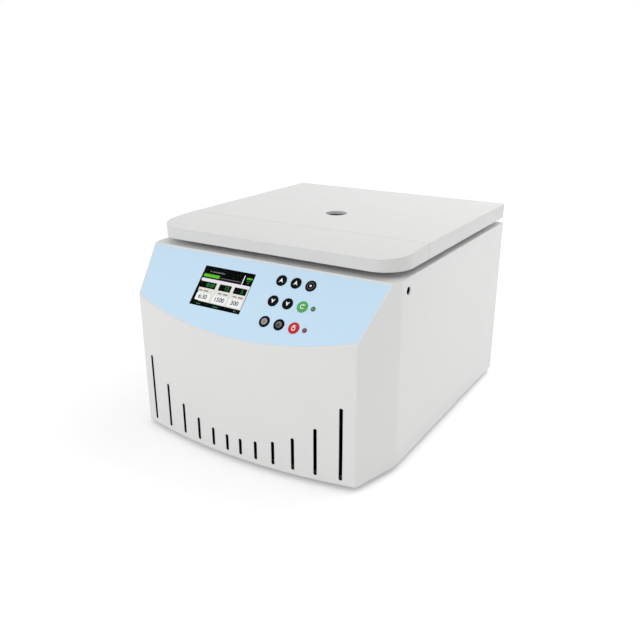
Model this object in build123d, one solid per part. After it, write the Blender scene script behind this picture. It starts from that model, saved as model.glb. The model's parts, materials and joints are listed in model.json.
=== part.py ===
"""Cytocentrifuge: a bench instrument that spins cell samples onto microscope slides.

Frame: millimetres, +Z up, front towards -Y, origin on the bench under the middle of the case.
Every sub-part is written to parts/NODE.step in this one frame, in its closed, resting state.
"""
from build123d import *
import os
from math import cos, radians, sin, sqrt, tan

# ---------------------------------------------------------------- driving dimensions
# Overall case
body_width = 432.0
body_depth = 518.0            # front of the bowed face to the rear panel
foot_height = 8.0             # bench to the case's lower edge
deck_height = 290.0           # bench to the flat deck under the lid
wall = 2.0                    # case sheet
bow_radius = 825.0            # plan radius of the bowed front
cheek_width = 21.8            # front corners in from the straight sides
cheek_depth = 79.0            # front corner back to where the sides run straight
front_corner_radius = 6.0
side_bend_radius = 18.0

# Lid
lid_side_inset = 1.0          # lid in from the case's sides
lid_gap = 9.25                # deck to the lid's underside
lid_thickness = 23.4
lid_nose_height = 17.0        # thickness left at the lid's front edge
lid_nose_depth = 97.0         # front edge back to the seam, where the top becomes flat
lid_seam = 0.4
lid_wall = 3.0
lid_front_radius = 45.0
lid_rear_radius = 6.0
lid_rear_overhang = 5.0       # lid beyond the rear panel
viewport_radius = 18.0
viewport_recess = 5.0
viewport_pane = 3.0
viewport_ledge = 2.5
viewport_pane_sides = 32
viewport_well_sides = 16

# Inclined control panel, measured down the slope from its top edge
panel_angle = 42.5            # slope from the vertical
panel_run = 85.9              # front of the case back to the panel's top edge
panel_overhang = 4.6          # top edge in front of the lid
overlay_border = 2.2
overlay_thickness = 0.5
screen_width = 92.8
screen_height = 65.0
screen_top = 23.0
screen_right = -1.2           # x of the screen's right edge
pane_thickness = 1.6
module_border = 3.0           # display module beyond the screen
key_radius = 8.4              # across the flats of a many-sided cap
key_sides = 16
key_column = 24.4             # pitch across
key_row = 32.3                # pitch down the slope
key_first_x = 44.2
key_first_down = 24.9
key_proud = 0.9               # cap above the overlay
key_travel = 0.8
key_clearance = 0.3
key_cap_depth = 4.5
key_stem_width = 5.0
lamp_radius = 3.3             # across the flats of a many-sided lamp body
lamp_sides = 12
lamp_x = 110.3
lamp_proud = 0.6
keypad_margin = 6.0           # panel opening round the keys and lamps
board_depth = 12.4            # overlay surface to the control board
board_thickness = 1.6
board_margin = 12.0
tact_size = 6.0               # tact switch under each key
tact_gap = 0.1                # stem to switch with the key pressed
standoff_across = 7.0         # hexagonal board standoffs, across flats

# Air slots in the bowed front
slot_width = 5.0
slot_bevel = 1.4
slot_bottom = 15.7
slot_arc_radius = 216.0       # the slot tops follow this arc
slot_arc_low = 41.5
slot_first_gap = 24.5
slot_gap_growth = 2.5
slots_per_side = 6

# Chamber
lock_room = 14.5              # lid lock's axis to the bowl's flange
rear_room = 63.0              # bowl's flange to the case's back
bowl_wall = 1.5
bowl_floor = 150.0            # inside floor height
bowl_corner = 6.0
bowl_flange = 10.0
bowl_shaft_clearance = 3.0    # bowl floor to the motor boss
deck_opening_clearance = 0.5
gasket_width = 8.0
ring_sides = 48               # of the gasket and of the deck's opening under the flange
gasket_clearance = 0.3        # gasket to the lid liner
liner_thickness = 2.0
liner_dish_depth = 3.0
liner_dish_inset = 4.0        # dish inside the bowl
liner_hollow_sides = 16
guard_clearance = 0.5         # bowl's flange to the inside of the guard's flats
guard_sides = 8
guard_wall = 3.5
guard_top_gap = 4.0           # below the deck sheet
cable_notch_width = 40.0
cable_notch_height = 30.0

# Drive
shaft_radius = 7.0            # to the corners of a many-sided shaft
shaft_sides = 16
shaft_clearance = 0.05
shaft_in_motor = 60.0
motor_side = 104.0
motor_corner = 10.0
motor_height = 96.0
motor_boss_radius = 20.0      # across the flats of the many-sided boss
motor_boss_sides = 16
motor_boss_height = 10.0
mount_thickness = 5.0
mount_size = 156.0
damper_side = 25.0
damper_height = 20.0
damper_spacing = 120.0

# Rotor
plate_height = 187.0          # underside of the rotor plate
plate_thickness = 8.0
rotor_clearance = 20.0        # bowl to the plate, which has one flat per holder
hub_radius = 34.0
hub_top = 224.0
hub_neck_radius = 22.0
hub_skirt = 15.0              # neck below the plate
knob_radius = 17.0
knob_height = 20.0
knob_bore_depth = 12.0
knob_sides = 12
holder_count = 8
pivot_inset = 16.0            # plate's edge to the holders' knife edges
notch_depth = 3.0             # knife edge below the plate's top face
notch_angle = 60.0            # half angle of the notches the knife edges rest in
window_edge = 3.0             # plate left outside each window
window_inside = 26.0          # window inside the knife edges
window_half = 17.0
stop_ring_wall = 3.0
stop_ring_height = 17.0
stop_gap = 0.3                # holder to its stop, leaning or upright
rim_band_wall = 3.0
rim_band_low = 4.5            # band above the plate
rim_band_height = 13.0

# Slide holders, drawn upright about their knife edges
rest_lean = 20.0              # lean towards the hub when the rotor stands still
slide_length = 76.0
slide_width = 26.0
slide_thickness = 1.0
slide_below = 22.0            # slide below the knife edges
slide_offset = 6.0            # slide face outside the knife edges
clip_sheet = 1.2
clip_depth = 11.0
clip_side_gap = 1.5
clip_top_cut = 4.0            # slide standing above the clip, to be gripped
clip_lip = 4.0
clip_lip_top = 34.5
knife_angle = 30.0            # half angle of a knife edge
knife_height = 4.2
knife_length = 5.0
knife_clearance = 0.2
chamber_block = 7.5
chamber_block_low = -8.0
chamber_block_high = 36.0
cup_half = 9.0                # half width across the cup's flats
cup_wall = 1.6
cup_sides = 8
clip_slack = 0.2              # sample chamber to clip and slide
cup_low = 4.0
cup_high = 46.0
cup_overlap = 0.5             # cup into the slide-side block
port_half = 3.0
port_height = 11.0

# Hinges
hinge_pin_radius = 1.6        # to the corners of a many-sided pin
knuckle_radius = 4.0          # across the flats of a rolled knuckle
knuckle_sides = 12            # of the knuckles, their pins and bores
hinge_spacing = 260.0
hinge_width = 62.0
hinge_middle = 22.0
hinge_leaf_depth = 24.0
hinge_leaf_thickness = 1.8
hinge_side_gap = 0.3
pin_clearance = 0.05

# Lid lock
bolt_back = 31.0              # bolt axis behind the lid's front edge
bolt_below_deck = 18.6
bolt_size = 8.0
bolt_length = 40.0
bolt_rest_end = -4.0          # x of the retracted tip
bolt_clearance = 0.3
bolt_bevel = 1.5
striker_thickness = 2.5
striker_width = 15.0
striker_below = 6.0           # striker below the bolt
striker_eye_gap = 1.0
striker_slot_gap = 2.5
lock_wall = 4.0
lock_left = -52.0
lock_right = 20.0
solenoid_half = 9.0
solenoid_length = 38.0
release_radius = 6.0
release_tube_wall = 1.2
hanger_width = 12.0
hanger_thickness = 4.0

# Rear panel and services
rear_thickness = 2.0
rear_flange = 12.0
fan_inset = 98.0              # fan axis in from the case's side
fan_z = 112.0
fan_size = 80.0
fan_depth = 25.0
fan_pin_length = 15.0
fan_bore = 37.5               # across the flats of the many-sided bore
fan_bore_sides = 28
fan_hub = 17.0                # across the flats of the many-sided hub and motor seat
fan_hub_sides = 14
fan_blades = 7
fan_blade_gap = 1.5
fan_pitch = 40.0
fan_chord = 18.0
fan_blade_sheet = 1.5
fan_blade_root = 2.0          # blade set into the hub
fan_seat = 3.0                # motor seat and struts
fan_pin_radius = 2.0          # to the corners of a many-sided pin
fan_pin_sides = 12
grille_pitch = 8.0
grille_slot = 4.0
services_inset = 88.0         # inlet and switch in from the case's side
inlet_z = 58.0
inlet_width = 27.0
inlet_height = 20.0
inlet_depth = 22.0
inlet_flange_width = 50.0
inlet_flange_height = 24.0
inlet_flange_thickness = 2.5
inlet_socket_depth = 17.0
inlet_wall = 1.5
inlet_flange_bevel = 4.0
inlet_chamfer = 4.0
inlet_blade_thickness = 2.0
inlet_blade_height = 4.0
inlet_blade_set_back = 6.0
inlet_blade_pitch = 7.0
inlet_earth_raise = 4.0
switch_z = 104.0
switch_width = 22.0
switch_height = 30.0
switch_depth = 24.0
switch_rim = 2.0
switch_wall = 2.0
switch_well = 9.0             # depth of the opening for the rocker
rocker_axis_depth = 3.0       # pivot behind the rear panel's face
rocker_face = 1.0             # rocker's middle proud of the panel
rocker_keel = 4.5             # rocker's keel, inwards of its pivot
rocker_angle = 9.0            # swing from ON to OFF
rocker_clearance = 0.4

# Base
base_thickness = 2.5
base_flange = 14.0
base_clearance = 0.3
foot_radius = 17.0            # across the flats of a many-sided foot
foot_sides = 16
foot_inset_x = 46.0
foot_front = 74.0             # foot centres behind the case's front
foot_rear = 44.0              # and in front of its rear
power_board_x = 170.0
power_board_y = 62.0
power_board_front = 34.0      # behind the case's front
standoff_height = 10.0
supply_width = 44.0
supply_height = 34.0
drive_width = 38.0
drive_height = 26.0

# ---------------------------------------------------------------- derived places
half = body_width / 2
front_corner_half = half - cheek_width
lid_width = body_width - 2 * lid_side_inset
lid_back = body_depth / 2 + lid_rear_overhang / 2
body_back = lid_back - lid_rear_overhang
body_front = body_back - body_depth
panel_top_y = body_front + panel_run
lid_front = panel_top_y + panel_overhang
lid_depth = lid_back - lid_front
lid_bottom = deck_height + lid_gap
lid_top = lid_bottom + lid_thickness
bow_centre_y = body_front + bow_radius
deck_under = deck_height - wall
tray_top = foot_height + base_thickness
bolt_y = lid_front + bolt_back
bolt_height = deck_height - bolt_below_deck

slope = radians(panel_angle)
panel = Plane(origin=(0, panel_top_y, deck_height), x_dir=(1, 0, 0), z_dir=(0, -cos(slope), sin(slope)))

flange_front = bolt_y + lock_room
flange_rear = body_back - rear_room
rotor_y = (flange_front + flange_rear) / 2
flange_radius = (flange_rear - flange_front) / 2
bowl_outer = flange_radius - bowl_flange
bowl_radius = bowl_outer - bowl_wall
deck_opening = bowl_outer + deck_opening_clearance
guard_inside = flange_radius + guard_clearance
guard_top = deck_under - guard_top_gap

mount_low = tray_top + damper_height
motor_low = mount_low + mount_thickness
motor_top = motor_low + motor_height
boss_top = motor_top + motor_boss_height
shaft_low = motor_top - shaft_in_motor
plate_apothem = bowl_radius - rotor_clearance
plate_top = plate_height + plate_thickness
pivot_radius = plate_apothem - pivot_inset
pivot_z = plate_top - notch_depth
window_inner = pivot_radius - window_inside
window_outer = plate_apothem - window_edge
seam_y = lid_front + lid_nose_depth
lid_fall = lid_thickness - lid_nose_height
nose_radius = (lid_nose_depth ** 2 + lid_fall ** 2) / (2 * lid_fall)

hinge_y = body_back - knuckle_radius
hinge_z = deck_height + lid_gap / 2
fan_x = fan_inset - half
services_x = half - services_inset

key_centres = [
    (key_first_x + column * key_column, key_first_down + row * key_row)
    for row in range(3) for column in range(3)
]
key_names = [
    "key_speed_up", "key_time_up", "key_record",
    "key_speed_down", "key_time_down", "key_start",
    "key_rotor", "key_menu", "key_stop",
]
lamp_downs = {"lamp_run": key_first_down + key_row, "lamp_stop": key_first_down + 2 * key_row}
screen_centre = (screen_right - screen_width / 2, screen_top + screen_height / 2)


# ---------------------------------------------------------------- small helpers
def block(x0, x1, y0, y1, z0, z1):
    """A box between two corners."""
    return Pos((x0 + x1) / 2, (y0 + y1) / 2, (z0 + z1) / 2) * Box(x1 - x0, y1 - y0, z1 - z0)


def disc(radius, z0, z1, x=0.0, y=0.0):
    """An upright cylinder between two heights."""
    return Pos(x, y, (z0 + z1) / 2) * Cylinder(radius, z1 - z0)


def rod_x(radius, x0, x1, y, z):
    """A cylinder lying along X."""
    return Pos((x0 + x1) / 2, y, z) * Rot(0, 90, 0) * Cylinder(radius, x1 - x0)


def square_x(reach, x0, x1, y, z):
    """A square bar lying along X, reaching equally to all four sides."""
    return block(x0, x1, y - reach, y + reach, z - reach, z + reach)


def on_panel(x, down, shape):
    """Places a shape on the control panel; its own Z stands out of the panel."""
    return panel * Pos(x, -down, 0) * shape


def turned(points, y=0.0):
    """A solid of revolution about an upright axis, from (radius, height) points."""
    profile = make_face(Polyline(*[(r, 0, z) for r, z in points], close=True))
    return Pos(0, y, 0) * revolve(profile, Axis.Z)


def around(shape, count, start=0.0):
    """Copies of a shape spread evenly around the Z axis."""
    return [Rot(0, 0, start + 360.0 * i / count) * shape for i in range(count)]


def corners_at(radius, sides):
    """Half width across the flats of a many-sided piece whose corners touch a circle."""
    return radius * cos(radians(180 / sides))


def prism(apothem, sides, z0, z1, x=0.0, y=0.0):
    """An upright regular prism with a flat towards +X, sized across its flats."""
    outline = RegularPolygon(apothem, sides, major_radius=False, rotation=180.0 / sides)
    return Pos(x, y, z0) * extrude(outline, z1 - z0)


def joined(shapes):
    """All shapes fused into the first."""
    return shapes[0].fuse(*shapes[1:])


def group(shapes):
    """Separate solids kept in one sub-part."""
    return Compound(children=[solid for shape in shapes for solid in shape.solids()])


# ---------------------------------------------------------------- case
def bow_y(x):
    """Front face of the case at a distance from the middle."""
    return bow_centre_y - sqrt(bow_radius ** 2 - x ** 2)


def case_plan(inset=0.0):
    """Outline of the case seen from above, inset all round."""
    corner_y = bow_y(front_corner_half)
    bend_y = corner_y + cheek_depth
    sides = Polyline(
        (front_corner_half, corner_y), (half, bend_y), (half, body_back),
        (-half, body_back), (-half, bend_y), (-front_corner_half, corner_y),
    )
    bow = ThreePointArc((-front_corner_half, corner_y), (0, body_front), (front_corner_half, corner_y))
    plan = make_face(sides + bow)
    plan = fillet(plan.vertices().group_by(Axis.Y)[0], front_corner_radius)
    bends = plan.vertices().filter_by_position(Axis.Y, bend_y - 1, bend_y + 1)
    plan = fillet(bends, side_bend_radius)
    return offset(plan, amount=-inset) if inset else plan


def in_front_of_panel(depth=0.0):
    """Everything outside the sloping panel, or outside a parallel plane a little below it."""
    size = 2 * body_width
    slab = Box(size, size, size / 2, align=(Align.CENTER, Align.CENTER, Align.MIN))
    return panel * Pos(0, 0, -depth) * slab


def case_block(inset, low, high, depth=0.0):
    """The case's form as a solid block: plan outline between two heights, cut by the panel slope."""
    return Pos(0, 0, low) * extrude(case_plan(inset), high - low) - in_front_of_panel(depth)


def slot_places():
    """(x, top) of each air slot: gaps that grow outwards, tops on an arc."""
    places = []
    x = slot_first_gap / 2
    gap = slot_first_gap
    for _ in range(slots_per_side):
        top = slot_arc_low + slot_arc_radius - sqrt(slot_arc_radius ** 2 - x ** 2)
        places += [(-x, top), (x, top)]
        gap += slot_gap_growth
        x += gap
    return places


def air_slot(x, top):
    """An upright slot with bevelled ends, cut through the front sheet."""
    back = bow_y(front_corner_half) + 3 * wall
    slot = block(x - slot_width / 2, x + slot_width / 2, body_front - wall, back, slot_bottom, top)
    return chamfer(slot.edges().filter_by(Axis.Y), slot_bevel)


def screen_cutout(depth):
    """Opening for the screen's pane."""
    return on_panel(screen_centre[0], screen_centre[1], Box(screen_width, screen_height, 2 * depth))


def overlay_cutouts():
    """Openings of the overlay: the pane, a hole for each key and one for each lamp."""
    hole = prism(key_radius + key_clearance, key_sides, -wall, wall)
    keys = [on_panel(x, down, hole) for x, down in key_centres]
    lamp_hole = prism(lamp_radius, lamp_sides, -wall, wall)
    lamps = [on_panel(lamp_x, down, lamp_hole) for down in lamp_downs.values()]
    return [screen_cutout(wall)] + keys + lamps


def keypad_cutout():
    """One opening of the case sheet behind all the keys and lamps."""
    left = key_first_x - key_radius - keypad_margin
    right = lamp_x + lamp_radius + keypad_margin
    top = key_first_down - key_radius - keypad_margin
    bottom = key_first_down + 2 * key_row + key_radius + keypad_margin
    return on_panel((left + right) / 2, (top + bottom) / 2, Box(right - left, bottom - top, 4 * wall))


def board_outline():
    """(left, right, top, bottom) of the control board on the panel."""
    left = screen_right - screen_width - board_margin
    right = lamp_x + board_margin
    top = screen_top - board_margin / 2
    bottom = key_first_down + 2 * key_row + board_margin
    return left, right, top, bottom


def board_boss_places():
    """Fixing points of the control board: its outer corners and between the screen and the keys."""
    left, right, top, bottom = board_outline()
    edge = standoff_across / 2 + 1
    middle = (screen_right + key_first_x - key_radius - keypad_margin) / 2
    return [(x, down) for x in (left + edge, middle, right - edge) for down in (top + edge, bottom - edge)]


def outer_casing():
    """One bent and painted sheet: bowed front, sloping panel, cheeks, sides and deck."""
    solid = case_block(0, foot_height, deck_height)
    hollow = case_block(wall, foot_height - wall, deck_under, wall)
    rear_gap = block(-half + wall, half - wall, body_back - 3 * wall, body_back + wall,
                     foot_height - wall, deck_under)
    cuts = [hollow, rear_gap]
    cuts += [air_slot(x, top) for x, top in slot_places()]
    cuts += [screen_cutout(2 * wall), keypad_cutout(), overlay_blank()]
    cuts.append(prism(deck_opening, ring_sides, deck_under - wall, deck_height + wall, 0, rotor_y))
    cuts.append(striker_slot())
    cuts.append(rod_x(release_radius, half - 2 * wall, half + wall, bolt_y, bolt_height))
    solid = solid.cut(*cuts)
    standoff = prism(standoff_across / 2, 6, -board_depth, -wall)
    return solid.fuse(*[on_panel(x, down, standoff) for x, down in board_boss_places()])


def overlay_blank():
    """The shallow seat of the panel overlay, as a solid sheet without holes."""
    low = foot_height
    high = deck_height - overlay_border
    return case_block(overlay_border, low, high) & in_front_of_panel(overlay_thickness)


def panel_overlay():
    """Printed polycarbonate sheet over the panel."""
    return overlay_blank().cut(*overlay_cutouts())


def rear_panel():
    """Rear sheet with side flanges, fan grille and openings for the services."""
    side = half - wall - base_clearance
    low = tray_top + base_clearance
    front = body_back - rear_thickness
    sheet = block(-side, side, front, body_back, low, deck_under)
    flanges = [
        block(x, x + wall, front - rear_flange, front, low, deck_under) for x in (-side, side - wall)
    ]
    sheet = sheet.fuse(*flanges)
    cuts = [grille_slot_at(z) for z in grille_heights()]
    cuts.append(rear_hole(services_x, inlet_z, inlet_width, inlet_height))
    cuts.append(rear_hole(services_x, switch_z, switch_width, switch_height))
    return sheet.cut(*cuts)


def rear_hole(x, z, width, height):
    """A rectangular opening through the rear sheet."""
    return block(x - width / 2, x + width / 2, body_back - 2 * rear_thickness, body_back + 1,
                 z - height / 2, z + height / 2)


def grille_heights():
    """Heights of the fan grille's slots."""
    count = int((fan_bore - grille_slot) // grille_pitch)
    return [fan_z + i * grille_pitch for i in range(-count, count + 1)]


def grille_slot_at(z):
    """One grille slot, as long as the fan's bore is wide at its edges' height."""
    edge = abs(z - fan_z) + grille_slot / 2
    reach = sqrt(fan_bore ** 2 - edge ** 2)
    return block(fan_x - reach, fan_x + reach, body_back - 2 * rear_thickness, body_back + 1,
                 z - grille_slot / 2, z + grille_slot / 2)


def base_tray():
    """Bottom sheet with an upturned flange inside the case."""
    gap = wall + base_clearance
    outer = Pos(0, 0, foot_height) * extrude(case_plan(gap), base_flange)
    inner = Pos(0, 0, tray_top) * extrude(case_plan(gap + base_thickness), base_flange)
    rear_space = rear_thickness + rear_flange + base_clearance
    cut_rear = block(-half, half, body_back - rear_space, body_back, tray_top, foot_height + 2 * base_flange)
    return outer - inner - cut_rear


def foot_places():
    """Foot centres under the base."""
    x = half - foot_inset_x
    return [(sx * x, y) for sx in (-1, 1) for y in (body_front + foot_front, body_back - foot_rear)]


def rubber_feet():
    """Rubber feet under the base's corners."""
    return group([prism(foot_radius, foot_sides, 0, foot_height, x, y) for x, y in foot_places()])


# ---------------------------------------------------------------- control panel
def display_window():
    """Clear pane in the screen opening, flush with the overlay."""
    pane = Pos(0, 0, -pane_thickness / 2) * Box(screen_width, screen_height, pane_thickness)
    return on_panel(screen_centre[0], screen_centre[1], pane)


def display_module():
    """Liquid-crystal module between the pane and the control board."""
    frame_width = screen_width + 2 * module_border
    frame_height = screen_height + 2 * module_border
    frame_depth = board_depth - wall
    frame = Pos(0, 0, -board_depth + frame_depth / 2) * Box(frame_width, frame_height, frame_depth)
    face_depth = wall - pane_thickness
    face = Pos(0, 0, -wall + face_depth / 2) * Box(screen_width, screen_height, face_depth)
    return on_panel(screen_centre[0], screen_centre[1], frame + face)


def control_board():
    """Circuit board behind the panel, with a tact switch under every key."""
    left, right, top, bottom = board_outline()
    sheet = Pos(0, 0, -board_depth - board_thickness / 2) * Box(right - left, bottom - top, board_thickness)
    board = on_panel((left + right) / 2, (top + bottom) / 2, sheet)
    tact_height = board_depth - key_cap_depth - key_travel - key_stem_length() - tact_gap
    switch = Pos(0, 0, -board_depth + tact_height / 2) * Box(tact_size, tact_size, tact_height)
    return board.fuse(*[on_panel(x, down, switch) for x, down in key_centres])


def key_stem_length():
    """Stem below a key's cap, down to its switch."""
    return (board_depth - key_cap_depth) / 2


def key(x, down):
    """Many-sided key cap with a square stem."""
    cap = prism(key_radius, key_sides, -key_cap_depth, key_proud)
    length = key_stem_length()
    stem = Pos(0, 0, -key_cap_depth - length / 2) * Box(key_stem_width, key_stem_width, length)
    return on_panel(x, down, cap + stem)


def lamp(down):
    """Indicator lamp standing on the control board."""
    return on_panel(lamp_x, down, prism(lamp_radius, lamp_sides, -board_depth, lamp_proud))


# ---------------------------------------------------------------- chamber
def chamber_bowl():
    """Stainless bowl hung in the deck by its flange, with a bevelled floor open round the motor boss."""
    under = bowl_floor - bowl_wall
    top = deck_height + bowl_wall
    bevel = bowl_corner
    bowl = turned([
        (0, under), (bowl_outer - bevel, under), (bowl_outer, under + bevel),
        (bowl_outer, deck_height), (flange_radius, deck_height), (flange_radius, top), (bowl_radius, top),
        (bowl_radius, bowl_floor + bevel), (bowl_radius - bevel, bowl_floor), (0, bowl_floor),
    ], rotor_y)
    hole = motor_boss_radius + bowl_shaft_clearance
    return bowl - prism(hole, motor_boss_sides, under - 1, bowl_floor + 1, 0, rotor_y)


def chamber_gasket():
    """Rubber ring on the bowl's flange, reaching up to the lid."""
    seat = deck_height + bowl_wall
    top = lid_bottom - gasket_clearance
    reach = corners_at(flange_radius, ring_sides)
    ring = prism(reach, ring_sides, seat, top, 0, rotor_y)
    return ring - prism(reach - gasket_width, ring_sides, seat - 1, top + 1, 0, rotor_y)


def guard_ring():
    """Folded steel armour round the bowl, one flat to the front, standing on the base."""
    outside = guard_inside + guard_wall
    ring = prism(outside, guard_sides, tray_top, guard_top, 0, rotor_y)
    ring = ring - prism(guard_inside, guard_sides, tray_top - 1, guard_top + 1, 0, rotor_y)
    side = cable_notch_width / 2
    return ring - block(-side, side, rotor_y - outside - 1, rotor_y, tray_top, tray_top + cable_notch_height)


# ---------------------------------------------------------------- drive
def shaft_bore(z0, z1, y=0.0):
    """Bore that clears the shaft."""
    return prism(shaft_radius + shaft_clearance, shaft_sides, z0, z1, 0, y)


def motor_body():
    """Square brushless motor with bevelled corners and a boss round its shaft."""
    side = motor_side / 2
    body = block(-side, side, rotor_y - side, rotor_y + side, motor_low, motor_top)
    body = chamfer(body.edges().filter_by(Axis.Z), motor_corner)
    boss = prism(motor_boss_radius, motor_boss_sides, motor_top, boss_top, 0, rotor_y)
    return body + boss - shaft_bore(shaft_low, boss_top + 1, rotor_y)


def motor_mount():
    """Square steel plate that carries the motor on its dampers."""
    side = mount_size / 2
    return block(-side, side, rotor_y - side, rotor_y + side, mount_low, motor_low)


def vibration_dampers():
    """Square rubber mounts between the base and the corners of the motor plate."""
    one = Pos(0, rotor_y, mount_low - damper_height / 2) * Box(damper_side, damper_side, damper_height)
    offset_each_way = (-damper_spacing / 2, damper_spacing / 2)
    return group([Pos(x, y, 0) * one for x in offset_each_way for y in offset_each_way])


def shaft_top():
    """End of the shaft inside the rotor knob."""
    return hub_top + knob_bore_depth


def drive_shaft():
    """Motor shaft up through the bowl into the rotor hub."""
    reach = corners_at(shaft_radius, shaft_sides)
    return prism(reach, shaft_sides, shaft_low + base_clearance, shaft_top(), 0, rotor_y)


# ---------------------------------------------------------------- rotor
def leaning(x, z):
    """Distance from the rotor axis and height, at rest, of a point of a holder drawn upright."""
    lean = radians(rest_lean)
    return pivot_radius + x * cos(lean) - z * sin(lean), pivot_z + x * sin(lean) + z * cos(lean)


def stop_ring_apothem():
    """Outside of the inner stop ring: its top edge just carries the leaning cups."""
    lean = radians(rest_lean)
    rise = plate_top + stop_ring_height - leaning(-cup_reach(), 0)[1]
    return leaning(-cup_reach(), rise / cos(lean))[0] - stop_gap


def rim_band_apothem():
    """Inside of the outer rim band: it just stops the upright clips."""
    return pivot_radius + slide_offset + slide_thickness + clip_sheet + stop_gap


def notch():
    """V-shaped notches across a window, in which a holder's knife edges rest."""
    reach = window_half + knife_length
    depth = notch_depth + knife_clearance + 1
    spread = depth * tan(radians(notch_angle))
    low = pivot_z - knife_clearance
    profile = Polyline((-spread, 0, depth), (0, 0, 0), (spread, 0, depth), close=True)
    return Pos(pivot_radius, 0, low) * extrude(make_face(profile), reach, both=True)


def rotor_head():
    """Machined aluminium head: hub, plate with a notched window per holder, stop ring and rim band."""
    hub_low = plate_height - hub_skirt
    hub = turned([(0, hub_low), (hub_neck_radius, hub_low), (hub_neck_radius, plate_height),
                  (hub_radius, plate_height), (hub_radius, plate_top), (hub_neck_radius, hub_top),
                  (0, hub_top)])
    plate = prism(plate_apothem, holder_count, plate_height, plate_top)
    ring_out = stop_ring_apothem()
    ring_top = plate_top + stop_ring_height
    ring = prism(ring_out, holder_count, plate_top, ring_top)
    ring = ring - prism(ring_out - stop_ring_wall, holder_count, plate_top - 1, ring_top + 1)
    band_in = rim_band_apothem()
    band_top = plate_top + rim_band_height
    band = prism(band_in + rim_band_wall, holder_count, plate_top, band_top)
    band = band - prism(band_in, holder_count, plate_top - 1, band_top + 1)
    head = joined([plate, hub, ring, band])
    window_top = plate_top + rim_band_low
    window = block(window_inner, window_outer, -window_half, window_half, plate_height - 1, window_top)
    cuts = around(window, holder_count) + around(notch(), holder_count)
    cuts.append(shaft_bore(hub_low - 1, hub_top + 1))
    return Pos(0, rotor_y, 0) * head.cut(*cuts)


def rotor_knob():
    """Many-sided knob that clamps the rotor on the shaft."""
    top = hub_top + knob_height
    knob = prism(knob_radius, knob_sides, hub_top, top)
    return Pos(0, rotor_y, 0) * (knob - shaft_bore(hub_top - 1, shaft_top() + base_clearance))


def clip_half_width():
    """Outside half width of a slide clip."""
    return slide_width / 2 + clip_side_gap + clip_sheet


def clip_front():
    """Front edge of a slide clip's sides."""
    return slide_offset + slide_thickness + clip_sheet - clip_depth


def block_front():
    """Hub-side face of a sample chamber's block."""
    return slide_offset - chamber_block


def cup_centre():
    """Axis of a sample chamber's cup."""
    return block_front() + cup_overlap - cup_half


def cup_reach():
    """Hub-side face of the cup, inside the knife edges."""
    return cup_half - cup_centre()


def slide_clip():
    """Folded steel channel that grips a slide, with knife-edge lugs, lips and a bottom shelf."""
    outer = clip_half_width()
    low = -slide_below
    high = low + slide_length - clip_top_cut
    front = clip_front()
    back = slide_offset + slide_thickness
    sheet = block(front, back + clip_sheet, -outer, outer, low - clip_sheet, high)
    inside = block(front - 1, back, -outer + clip_sheet, outer - clip_sheet, low, high + 1)
    lip_edge = outer - clip_sheet - clip_lip
    lips = [block(front, front + clip_sheet, y0, y1, low, clip_lip_top)
            for y0, y1 in ((-outer, -lip_edge), (lip_edge, outer))]
    side = knife_height * tan(radians(knife_angle))
    wedge = make_face(Polyline((0, 0, 0), (side, 0, knife_height), (-side, 0, knife_height), close=True))
    reach = (knife_length + clip_sheet) / 2
    lug = extrude(wedge, reach, both=True)
    lugs = [Pos(0, side * (outer + knife_length - reach), 0) * lug for side in (-1, 1)]
    return (sheet - inside).fuse(*lips, *lugs)


def sample_chamber():
    """Moulded chamber: block against the slide, cup, and the port from the cup to the slide."""
    gap = clip_slack
    face = slide_offset - gap
    half_width = slide_width / 2 - gap
    narrow = clip_half_width() - clip_sheet - clip_lip - gap
    cup_x = cup_centre()
    body = block(block_front(), face, -narrow, narrow, chamber_block_low, chamber_block_high)
    behind_lips = clip_front() + clip_sheet + gap
    body = body + block(behind_lips, face, -half_width, half_width, chamber_block_low, chamber_block_high)
    body = body + prism(cup_half, cup_sides, cup_low, cup_high, cup_x)
    body = body - prism(cup_half - cup_wall, cup_sides, cup_low + cup_wall, cup_high + 1, cup_x)
    return body - square_x(port_half, cup_x, face + 1, 0, port_height)


def glass_slide():
    """Standard microscope slide."""
    low = -slide_below
    side = slide_width / 2
    return block(slide_offset, slide_offset + slide_thickness, -side, side, low, low + slide_length)


def slide_holder(index):
    """Clip, slide and sample chamber, leaning to rest in the notches of one window."""
    pieces = [slide_clip(), glass_slide(), sample_chamber()]
    window = Pos(0, rotor_y, 0) * Rot(0, 0, 360.0 * index / holder_count) * Pos(pivot_radius, 0, pivot_z)
    return group([window * Rot(0, -rest_lean, 0) * piece for piece in pieces])


# ---------------------------------------------------------------- lid
def lid_plan(inset=0.0):
    """Outline of the lid seen from above: broad front corners, small rear ones."""
    width = lid_width - 2 * inset
    depth = lid_depth - 2 * inset
    plan = Pos(0, (lid_front + lid_back) / 2) * Rectangle(width, depth)
    front = plan.vertices().group_by(Axis.Y)[0]
    plan = fillet(front, lid_front_radius - inset)
    rear = plan.vertices().group_by(Axis.Y)[-1]
    return fillet(rear, lid_rear_radius - inset)


def lid_form(inset, drop, low):
    """The lid's form as a solid: flat top behind the seam, curving down to the front edge before it."""
    plan = Pos(0, 0, low) * extrude(lid_plan(inset), 2 * lid_thickness)
    side = lid_width / 2
    nose = rod_x(nose_radius - drop, -side, side, seam_y, lid_top - nose_radius)
    flat = block(-side, side, seam_y, lid_back, low, lid_top - drop)
    return plan & (nose + flat)


def lid_cover():
    """The hollow lid before it is parted at its seam."""
    return lid_form(0, 0, lid_bottom) - lid_form(lid_wall, lid_wall, lid_bottom - 1)


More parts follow.
